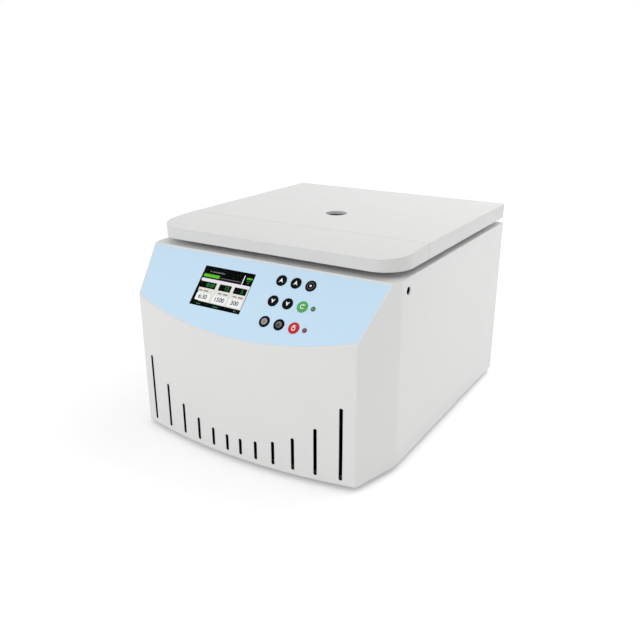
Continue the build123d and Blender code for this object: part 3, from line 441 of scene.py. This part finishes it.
# the base tray's near-black is painted shade of the case's inside
dress(tray_painted_shade, "base_tray")
dress(zinc, "motor_mount", "guard_ring", "lid_striker", "latch_solenoid",
      "hinge_fixed_leaves", "hinge_moving_leaves")
dress(ground_steel, "drive_shaft", "latch_bolt")
dress(liner_metal, "lid_liner")
dress(black_rubber, "rubber_feet", "vibration_dampers")
dress(grey_rubber, "chamber_gasket")
dress(motor_paint, "motor_body")
key_nodes = sorted(name for name in nodes if name.startswith("key_"))
key_colours = {name: key_black for name in key_nodes}
key_colours["key_start"] = key_green
key_colours["key_stop"] = key_red
for name, material in key_colours.items():
    dress(material, name)


# ---------------------------------------------------------------- mesh helpers
def link(name, mesh, material, body):
    """An object for a finished mesh, riding on a body."""
    piece = bpy.data.objects.new(name, mesh)
    mesh.materials.clear()
    mesh.materials.append(material)
    bpy.context.scene.collection.objects.link(piece)
    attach(piece, body)
    return piece


def from_curve(name, curve, place):
    """Mesh of a filled curve or text, drawn in millimetres and put in place."""
    temporary = bpy.data.objects.new(name, curve)
    bpy.context.scene.collection.objects.link(temporary)
    bpy.context.view_layer.update()
    mesh = bpy.data.meshes.new_from_object(temporary)
    bpy.data.objects.remove(temporary)
    bpy.data.curves.remove(curve)
    mesh.transform(place @ Matrix.Scale(MM, 4))
    mesh.name = name
    return mesh


def flat(name, loops, place, material, body, slot=None, depth=print_depth):
    """A thin flat piece bounded by loops of (x, y) points; inner loops are holes."""
    curve = bpy.data.curves.new(name, "CURVE")
    curve.dimensions = "2D"
    curve.fill_mode = "BOTH"
    curve.extrude = depth / 2
    for loop in loops:
        spline = curve.splines.new("POLY")
        spline.points.add(len(loop) - 1)
        spline.use_cyclic_u = True
        for point, (x, y) in zip(spline.points, loop):
            point.co = (x, y, 0, 1)
    return link(name, from_curve(name, curve, place), material, body)


def circle(radius, x=0.0, y=0.0, start=0.0, turn=2 * pi, steps=40):
    """Points along a circle or an arc."""
    return [(x + radius * cos(start + turn * i / steps), y + radius * sin(start + turn * i / steps))
            for i in range(steps + (turn < 2 * pi))]


def oval(half_width, half_height):
    """Points along an ellipse."""
    return [(x * half_width, y * half_height) for x, y in circle(1.0)]


def arc_band(inner, outer, start, turn):
    """Outline of a part of a ring."""
    return circle(outer, start=start, turn=turn) + circle(inner, start=start, turn=turn)[::-1]


def rectangle(x0, x1, y0, y1):
    """Corners of a rectangle."""
    return [(x0, y0), (x1, y0), (x1, y1), (x0, y1)]


def rounded(x0, x1, y0, y1, radius, steps=6):
    """Rectangle with round corners."""
    corners = [(x1 - radius, y1 - radius, 0), (x0 + radius, y1 - radius, 1),
               (x0 + radius, y0 + radius, 2), (x1 - radius, y0 + radius, 3)]
    return [(x + radius * cos(pi / 2 * (turn + i / steps)), y + radius * sin(pi / 2 * (turn + i / steps)))
            for x, y, turn in corners for i in range(steps + 1)]


def finished(name, form):
    """Mesh of a closed form, its faces turned outwards."""
    mesh = bpy.data.meshes.new(name)
    bmesh.ops.recalc_face_normals(form, faces=form.faces)
    form.to_mesh(mesh)
    form.free()
    return mesh


def slab(outline, x0, x1):
    """Mesh of a flat outline of (y, z) points made solid along X, in millimetres."""
    form = bmesh.new()
    near, far = [[form.verts.new((x, y, z)) for y, z in outline] for x in (x0, x1)]
    form.faces.new(near)
    form.faces.new(far)
    for i, j in zip(range(len(outline)), [*range(1, len(outline)), 0]):
        form.faces.new((near[i], near[j], far[j], far[i]))
    return finished("slab", form)


def box_mesh(x0, x1, y0, y1, z0, z1):
    """Mesh of a block between two corners."""
    return slab(rectangle(y0, y1, z0, z1), x0, x1)


def combined(name, meshes, cuts=()):
    """One closed mesh from several that overlap, less the cuts."""
    scene = bpy.context.scene.collection.objects
    body = bpy.data.objects.new(name, meshes[0])
    scene.link(body)
    others = []
    for operation, group in (("UNION", meshes[1:]), ("DIFFERENCE", cuts)):
        for mesh in group:
            other = bpy.data.objects.new(name + "_part", mesh)
            scene.link(other)
            others.append(other)
            step = body.modifiers.new(operation, "BOOLEAN")
            step.operation = operation
            step.solver = "EXACT"
            step.object = other
    bpy.context.view_layer.update()
    result = bpy.data.meshes.new_from_object(body.evaluated_get(bpy.context.evaluated_depsgraph_get()))
    for used in others + [body]:
        bpy.data.objects.remove(used)
    return result


def spun_mesh(name, profile, steps):
    """Mesh of a turned form from (radius, height) points, about Z."""
    form = bmesh.new()
    rings = []
    for radius, height in profile:
        if radius < 1e-6:
            rings.append([form.verts.new((0, 0, height))] * steps)
        else:
            turns = [2 * pi * i / steps for i in range(steps)]
            rings.append([form.verts.new((radius * cos(turn), radius * sin(turn), height)) for turn in turns])
    for lower, upper in zip(rings, rings[1:]):
        for i in range(steps):
            j = (i + 1) % steps
            corners = list(dict.fromkeys([lower[i], lower[j], upper[j], upper[i]]))
            if len(corners) > 2:
                form.faces.new(corners)
    for face in form.faces:
        face.smooth = True
    return finished(name, form)


def spun(name, profile, place, material, body, steps=48):
    """A turned piece, drawn in millimetres and put in place."""
    mesh = spun_mesh(name, profile, steps)
    mesh.transform(place @ Matrix.Scale(MM, 4))
    return link(name, mesh, material, body)


def frame_at(origin, across, up):
    """Matrix of a flat piece's place: its own X, Y and outward Z in the row frame."""
    across = Vector(across).normalized()
    up = Vector(up).normalized()
    out = across.cross(up)
    columns = Matrix((across, up, out)).transposed().to_4x4()
    return Matrix.Translation(origin) @ columns


# ---------------------------------------------------------------- control panel
def on_face(name, lift=0.0):
    """Matrix at the middle of a node's face towards the panel's front, lifted in millimetres."""
    points = [vertex.co for vertex in nodes[name].data.vertices]
    height = max(point.dot(panel_out) for point in points)
    face = [point for point in points if point.dot(panel_out) > height - 0.01 * MM]
    across = [point.dot(panel_across) for point in face]
    up = [point.dot(panel_up) for point in face]
    middle = ((min(across) + max(across)) / 2, (min(up) + max(up)) / 2)
    origin = panel_across * middle[0] + panel_up * middle[1] + panel_out * (height + lift * MM)
    return frame_at(origin, panel_across, panel_up)


def key_caps():
    """Round caps with a shallow dish and a soft rim, each standing for its many-sided CAD key."""
    profile = [(0, key_dish), (3.0, key_dish + 0.02), (5.4, key_dish + key_dish_rise), (6.9, -0.02), (7.5, 0.0),
               (7.95, -0.08), (8.25, -0.26), (8.38, -0.55), (key_cap_radius, -0.9),
               (key_cap_radius, -key_cap_height), (0, -key_cap_height)]
    for name, material in key_colours.items():
        cap = spun(name + "_cap", profile, on_face(name), material, "body_" + name, key_sides)
        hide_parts(name)


def key_rims():
    """Round edges of the overlay's openings for the keys."""
    surface = on_face("panel_overlay").translation.dot(panel_out) + print_lift * MM
    ring = [circle(radius, steps=key_sides) for radius in (key_rim_outer, key_rim_inner)]
    for name in key_nodes:
        place = on_face(name)
        place.translation += panel_out * (surface - place.translation.dot(panel_out))
        flat(name + "_rim", ring, place, panel_blue, "casing", "panel_blue")


def arrow(direction):
    """Notched arrowhead, pointing up or down."""
    tip, side, foot, notch = 3.9, 3.5, -3.4, -1.1
    return [(0, tip * direction), (side, foot * direction), (0, notch * direction), (-side, foot * direction)]


def key_marks():
    """Plain symbols printed in the dishes of the keys."""
    up = [(mark_white, [arrow(1)])]
    down = [(mark_white, [arrow(-1)])]
    marks = {
        "key_speed_up": up,
        "key_time_up": up,
        "key_speed_down": down,
        "key_time_down": down,
        "key_record": [(mark_dim, [circle(5.5), circle(4.9)]), (mark_white, [circle(1.6)])],
        "key_start": [(mark_white, [arc_band(2.3, 3.4, radians(50), radians(285))]),
                      (mark_white, [[(0.7, 4.3), (3.8, 2.9), (1.2, 1.5)]])],
        "key_rotor": [(mark_grey, [circle(4.9)]), (mark_dim, [oval(1.4, 2.6)])],
        "key_menu": [(mark_dim, [circle(4.7)]), (mark_black, [circle(2.9, -0.7, -1.1)])],
        "key_stop": [(mark_white, [circle(3.1, 0, -0.9), circle(2.0, 0, -0.9)]),
                     (mark_white, [[(-3.0, -0.4), (-1.7, 4.0), (2.6, 4.0),
                                    (2.3, 3.0), (-0.9, 3.0), (-1.9, -0.4)]])],
    }
    for name, prints in marks.items():
        for index, (material, loops) in enumerate(prints):
            place = on_face(name, key_dish + key_dish_rise + print_lift * (index + 1))
            flat(f"{name}_mark_{index}", loops, place, material, "body_" + name)


def lamp_lenses():
    """Small domed lenses in the lamps' dark bodies, and the rings round them."""
    lens = [(0.0, 0.0), (2.7, 0.0), (2.6, 0.2), (2.1, 0.45), (1.2, 0.62), (0.0, 0.68)]
    bezel = [(2.6, 0.02), (2.75, 0.16), (3.2, 0.14), (3.45, -0.05), (3.5, -0.3), (3.5, -0.55),
             (2.6, -0.55), (2.6, 0.02)]
    for name, colour in (("lamp_run", srgb(92, 142, 90)), ("lamp_stop", srgb(154, 72, 84))):
        material, tree, shader = new_material(name + "_lens", colour, 0.3)
        shader.inputs["Specular IOR Level"].default_value = 0.2
        relief(tree, shader, noise(tree, object_place(tree), 900.0), 0.01 * MM)
        spun(name + "_lens", lens, on_face(name), material, "casing", small_sides)
        spun(name + "_bezel", bezel, on_face(name), socket_black, "casing", turned_sides)


def display_picture():
    """Generic read-out behind the display's pane: bars, boxes and plain numbers."""
    low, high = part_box("display_window")
    width = (high.x - low.x) / MM
    height = ((high.y - low.y) * panel_up.y + (high.z - low.z) * panel_up.z) / MM
    place = on_face("display_window", -screen_behind)
    black = glowing("screen_black", srgb(8, 12, 10))
    cream = glowing("screen_cream", srgb(232, 230, 224))
    white = glowing("screen_white", srgb(250, 250, 250))
    lilac = glowing("screen_lilac", srgb(238, 232, 242))
    green = glowing("screen_green", srgb(98, 196, 56))
    dim_green = glowing("screen_dim_green", srgb(50, 128, 66))
    dark = glowing("screen_dark", srgb(44, 48, 48))
    grey = glowing("screen_grey", srgb(112, 106, 110))

    def across(share):
        """Millimetres right of the middle, from a share of the width."""
        return (share - 0.5) * width

    def down(share):
        """Millimetres above the middle, from a share of the height below the top."""
        return (0.5 - share) * height

    def on_layer(layer):
        """Place of a layer of the picture; higher layers lie nearer to the pane."""
        return Matrix.Translation(panel_out * (layer * screen_layer * MM)) @ place

    def outline(name, layer, material, loop):
        """An area of one colour inside a loop."""
        flat("screen_" + name, [loop], on_layer(layer), material, "casing", "module_black", screen_depth)

    def area(name, layer, material, u0, u1, v0, v1, corner=0.0):
        """A rectangle of one colour, with or without round corners."""
        edges = across(u0), across(u1), down(v1), down(v0)
        outline(name, layer, material, rounded(*edges, corner) if corner else rectangle(*edges))

    def number(name, layer, material, text, u, v, size):
        """A plain number."""
        curve = bpy.data.curves.new(name, "FONT")
        curve.body = text
        curve.size = size
        curve.align_x = "CENTER"
        curve.align_y = "CENTER"
        curve.extrude = screen_depth / 2
        curve.offset = digit_weight
        put = on_layer(layer) @ Matrix.Translation(Vector((across(u), down(v), 0)) * MM)
        link("screen_" + name, from_curve(name, curve, put), material, "casing")

    area("ground", 0, black, 0.005, 0.995, 0.005, 0.995)
    cream_edge = [(0.03, 0.31), (0.98, 0.31), (0.985, 0.885), (0.14, 0.87), (0.045, 0.62)]
    outline("body", 1, cream, [(across(u), down(v)) for u, v in reversed(cream_edge)])
    area("band", 2, lilac, 0.02, 0.985, 0.31, 0.375)
    area("divider", 1, white, 0.8, 0.815, 0.08, 0.31)
    area("progress", 2, green, 0.03, 0.345, 0.2, 0.275)
    area("track", 2, grey, 0.37, 0.78, 0.245, 0.262)
    area("title", 2, grey, 0.17, 0.42, 0.12, 0.15)
    area("title_dot", 2, grey, 0.12, 0.145, 0.11, 0.15, 0.8)
    area("signal_top", 2, green, 0.86, 0.965, 0.12, 0.16, 0.8)
    area("signal_mid", 2, dim_green, 0.875, 0.95, 0.185, 0.205)
    area("signal_low", 2, dim_green, 0.89, 0.935, 0.235, 0.255)
    values = ((0.03, 0.355, "0:00"), (0.42, 0.655, "12"), (0.715, 0.96, "5"))
    for index, (u0, u1, text) in enumerate(values):
        area(f"value_{index}", 3, black, u0, u1, 0.39, 0.545, 0.6)
        number(f"value_text_{index}", 4, dim_green, text, u0 + (u1 - u0) * 0.66, 0.468, 8.6)
        area(f"label_{index}", 3, grey, u0 + 0.03, u0 + 0.1, 0.6, 0.625)
        area(f"unit_{index}", 3, grey, u0 + 0.13, u0 + 0.22, 0.6, 0.625)
    settings = ((0.05, 0.33, "6:30"), (0.39, 0.655, "1500"), (0.7, 0.955, "300"))
    for index, (u0, u1, text) in enumerate(settings):
        area(f"set_{index}", 3, white, u0, u1, 0.67, 0.855, 2.0)
        number(f"set_text_{index}", 4, dark, text, (u0 + u1) / 2, 0.762, 9.6)
    area("foot_a", 2, dim_green, 0.12, 0.2, 0.925, 0.945)
    area("foot_b", 2, dim_green, 0.46, 0.56, 0.925, 0.945)
    area("foot_c", 2, grey, 0.87, 0.91, 0.92, 0.95)


def slot_painted_shade():
    """Painted shade in the front air slots: a thin near-black sheet on their walls, taken from the casing's own
    wall faces.
    """
    case = nodes["outer_casing"]
    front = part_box("outer_casing")[0].y + slot_shade_reach
    form = bmesh.new()
    form.from_mesh(case.data)
    form.transform(case.matrix_world)
    others = []
    for face in form.faces:
        middle = face.calc_center_median()
        upright = slot_shade_low < middle.z < slot_shade_high and abs(face.normal.y) < slot_shade_turn
        if middle.y >= front or not upright:
            others.append(face)
    bmesh.ops.delete(form, geom=others, context="FACES")
    bmesh.ops.remove_doubles(form, verts=form.verts, dist=weld)
    bmesh.ops.solidify(form, geom=form.faces, thickness=-slot_shade_thick)
    link("slot_painted_shade", finished("slot_painted_shade", form), matt_black, "casing")


def rocker_marks():
    """Bar and ring of the power rocker, printed on its two faces."""
    low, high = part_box("power_rocker")
    centre = (low + high) / 2
    half = (high.z - low.z) / 2
    across = Vector((-1, 0, 0))
    face = high.y - half * tan(rocker_lean) + print_lift * MM
    upper = frame_at((centre.x, face, centre.z + half / 2), across, (0, 0, 1))
    lean = Vector((0, -sin(rocker_lean), cos(rocker_lean)))
    lower = frame_at(Vector((centre.x, face, centre.z)) - lean * (half / 2), across, lean)
    bar = rectangle(-rocker_bar_half, rocker_bar_half, -rocker_mark_half, rocker_mark_half)
    flat("rocker_bar", [bar], upper, mark_white, "rocker")
    flat("rocker_ring", [circle(rocker_mark_half), circle(rocker_ring_inner)], lower, mark_white, "rocker")


# ---------------------------------------------------------------- small fasteners
def screws(name, first, places, out, radius, body):
    """Pan-head screws numbered from first, their heads standing out of a face; a dark flat cross on each head
    is painted shade of its cross recess.
    """
    out = Vector(out).normalized()
    side = out.orthogonal().normalized()
    crown = radius * screw_crown
    profile = [(0, 0), (radius, 0), (radius, crown * 0.35), (radius * 0.85, crown * 0.8),
               (radius * 0.55, crown), (0, crown)]
    arm, slim = radius * screw_arm, radius * screw_slim
    cross = [(arm, slim), (slim, slim), (slim, arm), (-slim, arm), (-slim, slim), (-arm, slim),
             (-arm, -slim), (-slim, -slim), (-slim, -arm), (slim, -arm), (slim, -slim), (arm, -slim)]
    lift = Matrix.Translation(out * (crown + print_lift) * MM)
    for index, origin in enumerate(places, first):
        place = frame_at(origin, side, out.cross(side))
        spun(f"{name}_{index}", profile, place, screw_steel, body, small_sides)
        # the recess drawn as a flat dark cross: painted shade
        flat(f"{name}_{index}_recess", [cross], lift @ place, screw_recess_painted_shade, body, "fitting_steel")


def rear_screws():
    """Screws of the rear panel, the fan and the socket."""
    out = (0, 1, 0)
    low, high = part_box("rear_panel")
    face = high.y
    edge = panel_screw_edge * MM
    places = [(x, face, z) for x in (low.x + edge, high.x - edge)
              for z in (low.z + edge, (low.z + high.z) / 2, high.z - edge)]
    screws("rear_screw", 0, places, out, panel_screw, "casing")
    low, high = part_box("fan_frame")
    edge = fan_screw_edge * MM
    places = [(x, face, z) for x in (low.x + edge, high.x - edge) for z in (low.z + edge, high.z - edge)]
    screws("fan_screw", 6, places, out, fan_screw, "casing")
    low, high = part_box("power_inlet")
    edge = inlet_screw_edge * MM
    places = [(x, high.y, (low.z + high.z) / 2) for x in (low.x + edge, high.x - edge)]
    screws("inlet_screw", 10, places, out, inlet_screw, "casing")


def lid_screws():
    """Screws that hold the liner in the lid, and the leaves of the hinges."""
    low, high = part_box("lid_liner")
    edge = liner_screw_edge * MM
    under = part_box("lid_shell")[0].z
    rows = (low.y + liner_screw_front * MM, (low.y + high.y) / 2, high.y - edge)
    places = [(x, y, under) for x in (low.x + edge, high.x - edge) for y in rows]
    places += [(x, low.y + edge, under) for x in (-liner_screw_across * MM, liner_screw_across * MM)]
    screws("liner_screw", 0, places, (0, 0, -1), liner_screw, "lid")
    low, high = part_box("hinge_fixed_leaves")
    edge = hinge_screw_edge * MM
    width = hinge_leaf_width * MM
    places = [(x, low.y + hinge_screw_front * MM, low.z + hinge_leaf_thick * MM)
              for x in (low.x + edge, low.x + width - edge, high.x - width + edge, high.x - edge)]
    screws("hinge_screw", 0, places, (0, 0, 1), hinge_screw, "casing")


def tray_screws():
    """Screws that hold the tray to the case, seen from below."""
    low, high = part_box("base_tray")
    edge = tray_screw_edge * MM
    rear, side = high.y - edge, high.x - edge
    across, behind = tray_screw_bow
    places = [(0, rear, low.z)]
    for way in (-1, 1):
        places.append((way * side, rear, low.z))
        places += [(way * side, row * MM, low.z) for row in tray_screw_rows]
        places.append((way * across * MM, low.y + behind * MM, low.z))
    screws("tray_screw", 0, places, (0, 0, -1), panel_screw, "casing")


def hand_knob():
    """Knob that clamps the rotor: fluted side, soft rims and a shallow dish on top."""
    low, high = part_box("rotor_knob")
    middle = (low + high) / 2
    radius = min(high.x - low.x, high.y - low.y) / 2 / MM
    height = (high.z - low.z) / MM
    profile = [(0, height - 0.9), (radius * 0.45, height - 0.8), (radius * 0.62, height),
               (radius * 0.84, height - 0.2), (radius * 0.95, height - 1.2), (radius, height - 3),
               (radius, 2.2), (radius * 0.96, 0.7), (radius * 0.9, 0), (0, 0)]
    mesh = spun_mesh("knob", profile, knob_flutes * knob_flute_steps)
    for vertex in mesh.vertices:
        spot = vertex.co
        if spot.xy.length > radius * knob_skirt:
            wave = (1 + cos(knob_flutes * atan2(spot.y, spot.x))) / 2
            spot.xy *= 1 - knob_groove * wave ** 3
    mesh.transform(Matrix.Translation((middle.x, middle.y, low.z)) @ Matrix.Scale(MM, 4))
    knob = link("hand_knob", mesh, black_plastic, "rotor")
    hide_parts("rotor_knob")


# ---------------------------------------------------------------- slide holders
def lug_mesh(y0, y1):
    """Knife-edge lug: a wedge along Y whose edge is on the pivot line."""
    form = bmesh.new()
    half_top = knife_height * tan(knife_angle)
    corners = [form.verts.new((x, y, z)) for y in (y0, y1)
               for x, z in ((0, 0), (half_top, knife_height), (-half_top, knife_height))]
    for face in ((0, 1, 2), (5, 4, 3), (0, 3, 4, 1), (1, 4, 5, 2), (2, 5, 3, 0)):
        form.faces.new([corners[i] for i in face])
    return finished("lug", form)


def clip_mesh():
    """Folded clip: back, sides, lips, shelf and knife-edge lugs."""
    outer = slide_width / 2 + clip_side_gap + clip_sheet
    low = -slide_below
    high = low + slide_length - clip_top_cut
    back = slide_offset + slide_thickness
    front = back + clip_sheet - clip_depth
    channel = box_mesh(front, back + clip_sheet, -outer, outer, low - clip_sheet, high)
    inner = outer - clip_sheet
    inside = box_mesh(front - cut_over, back, -inner, inner, low, high + cut_over)
    additions = []
    for side in (-1, 1):
        y0, y1 = sorted((side * (inner + clip_sheet / 2), side * (inner - clip_lip)))
        additions.append(box_mesh(front, front + clip_sheet, y0, y1, low - clip_sheet / 2, clip_lip_top))
        y0, y1 = sorted((side * (outer - clip_sheet / 2), side * (outer + knife_length)))
        additions.append(lug_mesh(y0, y1))
    return combined("clip", [combined("channel", [channel], [inside])] + additions)


def slide_mesh(low, high, low_clip, high_clip):
    """Part of a glass slide between two heights, its corners clipped where the slide ends."""
    half = slide_width / 2
    outline = [(half - low_clip, low), (half, low + low_clip), (half, high - high_clip),
               (half - high_clip, high), (high_clip - half, high), (-half, high - high_clip),
               (-half, low + low_clip), (low_clip - half, low)]
    return slab(list(dict.fromkeys(outline)), slide_offset, slide_offset + slide_thickness)


def card_mesh():
    """White filter card between the chamber and the slide, with a hole at the chamber's port."""
    edge = slide_width / 2 - slack
    sheet = rounded(-edge, edge, block_low, block_high + card_above, card_corner)
    card = slab(sheet, slide_offset - card_front, slide_offset - card_back)
    opening = circle(port_half, 0, port_height, steps=small_sides)
    return combined("card", [card], [slab(opening, slide_offset - cut_over, slide_offset)])


def cup_mesh(x):
    """Cup open at its top, with a rolled rim and a sloping floor."""
    inner = cup_radius - cup_wall
    profile = [(0, cup_low), (cup_radius - cup_chamfer, cup_low), (cup_radius, cup_low + cup_chamfer),
               (cup_radius, cup_high - cup_rim), (cup_radius - cup_rim, cup_high), (inner + cup_rim, cup_high),
               (inner, cup_high - cup_rim), (inner, cup_low + cup_slope), (cup_floor, cup_low + cup_wall),
               (0, cup_low + cup_wall)]
    mesh = spun_mesh("cup", profile, turned_sides)
    mesh.transform(Matrix.Translation((x, 0, 0)))
    return mesh


def chamber_mesh():
    """Sample chamber: the block against the slide, the round cup and the port between them."""
    narrow = slide_width / 2 + clip_side_gap - clip_lip - slack
    face = slide_offset - slack
    front = slide_offset - block_thick
    cup_x = front + cup_sink - cup_radius
    lips = slide_offset + slide_thickness + 2 * clip_sheet - clip_depth + slack
    edge = slide_width / 2 - slack
    tongue = box_mesh(front, face - tongue_step, -narrow, narrow,
                      block_low + tongue_step, block_high - tongue_step)
    plate = box_mesh(lips, face, -edge, edge, block_low, block_high)
    port = box_mesh(cup_x, face + cut_over, -port_half, port_half,
                    port_height - port_half, port_height + port_half)
    return combined("chamber", [plate, tongue, cup_mesh(cup_x)], [port])


def slide_holders():
    """Eight clips with their slides, cards and chambers, each leaning to rest on the rotor."""
    lean = Matrix.Rotation(-holder_lean, 4, "Y")
    slide_low = -slide_below
    slide_high = slide_low + slide_length
    pieces = [
        ("clip", clip_mesh(), clip_steel),
        ("slide", slide_mesh(slide_low, slide_high - frosted_length, slide_clip, 0), slide_glass),
        ("slide_end", slide_mesh(slide_high - frosted_length, slide_high, 0, slide_clip), slide_frost),
        ("card", card_mesh(), slide_frost),
        ("chamber", chamber_mesh(), chamber_white),
    ]
    for joint in holder_joints:
        tangent = Vector(joint["axis"]).normalized()
        out = tangent.cross(Vector((0, 0, 1)))
        place = frame_at(Vector(joint["pos_m"]), out, tangent) @ lean @ Matrix.Scale(MM, 4)
        body = joint["child"]
        for part, mesh, material in pieces:
            copy = mesh.copy()
            copy.transform(place)
            piece = link(body.replace("holder", part), copy, material, body)
            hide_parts("slide_" + body)


# ---------------------------------------------------------------- floor, light and camera
def seen_directly(tree):
    """1 where the camera, a reflection or a clear pane looks, and 0 where a surface only gets light."""
    path = add(tree, "ShaderNodeLightPath")
    total = path.outputs["Is Camera Ray"]
    for name in ("Is Glossy Ray", "Is Transmission Ray"):
        both = add(tree, "ShaderNodeMath", operation="ADD", use_clamp=True)
        tree.links.new(total, both.inputs[0])
        tree.links.new(path.outputs[name], both.inputs[1])
        total = both.outputs[0]
    return total


def white_floor():
    """Matt white floor that keeps the shadow near the object and fades to the backdrop's white."""
    mesh = bpy.data.meshes.new("floor")
    corners = rectangle(-floor_half, floor_half, -floor_half, floor_half)
    mesh.from_pydata([(x, y, 0) for x, y in corners], [], [(0, 1, 2, 3)])
    floor = bpy.data.objects.new("floor", mesh)
    bpy.context.scene.collection.objects.link(floor)
    material, tree, shader = new_material("floor_white", (floor_albedo, floor_albedo, floor_albedo, 1), 0.9)
    shader.inputs["Specular IOR Level"].default_value = 0.0
    shader.inputs["Emission Color"].default_value = (1, 1, 1, 1)
    distance = add(tree, "ShaderNodeVectorMath", operation="LENGTH")
    tree.links.new(object_place(tree), distance.inputs[0])
    lift = add(tree, "ShaderNodeMapRange", {"From Min": floor_near, "From Max": floor_far,
                                            "To Min": floor_lift_near, "To Max": floor_lift_far})
    tree.links.new(distance.outputs["Value"], lift.inputs["Value"])
    shown = add(tree, "ShaderNodeMath", operation="MULTIPLY")
    tree.links.new(lift.outputs["Result"], shown.inputs[0])
    tree.links.new(seen_directly(tree), shown.inputs[1])
    tree.links.new(shown.outputs[0], shader.inputs["Emission Strength"])
    relief(tree, shader, noise(tree, object_place(tree), 300.0), 0.02 * MM)
    mesh.materials.append(material)


def white_world():
    """Even soft light, seen as plain white."""
    world = bpy.data.worlds.new("studio")
    bpy.context.scene.world = world
    world.use_nodes = True
    tree = world.node_tree
    sky = tree.nodes["Background"]
    sky.inputs["Color"].default_value = (1, 1, 1, 1)
    strength = add(tree, "ShaderNodeMapRange", {"To Min": world_light, "To Max": 1.0})
    tree.links.new(seen_directly(tree), strength.inputs["Value"])
    tree.links.new(strength.outputs["Result"], sky.inputs["Strength"])


def soft_lamps():
    """Large square lamps, all turned to the middle of the object."""
    for name, place, size, power in lamps:
        data = bpy.data.lights.new(name, "AREA")
        data.size = size
        data.energy = power
        lamp = bpy.data.objects.new(name, data)
        lamp.location = place
        aim = lamp_aim - lamp.location
        lamp.rotation_mode = "QUATERNION"
        lamp.rotation_quaternion = aim.to_track_quat("-Z", "Y")
        bpy.context.scene.collection.objects.link(lamp)


def camera():
    """The photograph's viewpoint."""
    data = bpy.data.cameras.new("camera")
    data.sensor_width = sensor
    data.lens = focal_in_frames * sensor
    data.clip_start = 0.01
    view = bpy.data.objects.new("camera", data)
    view.location = camera_place
    view.rotation_euler = (pi / 2 + camera_pitch, camera_roll, camera_yaw)
    bpy.context.scene.collection.objects.link(view)
    bpy.context.scene.camera = view


camera()
white_floor()
white_world()
soft_lamps()
key_caps()
key_rims()
key_marks()
lamp_lenses()
display_picture()
slot_painted_shade()
rocker_marks()
rear_screws()
lid_screws()
tray_screws()
hand_knob()
slide_holders()

bpy.context.scene.view_settings.view_transform = "Standard"
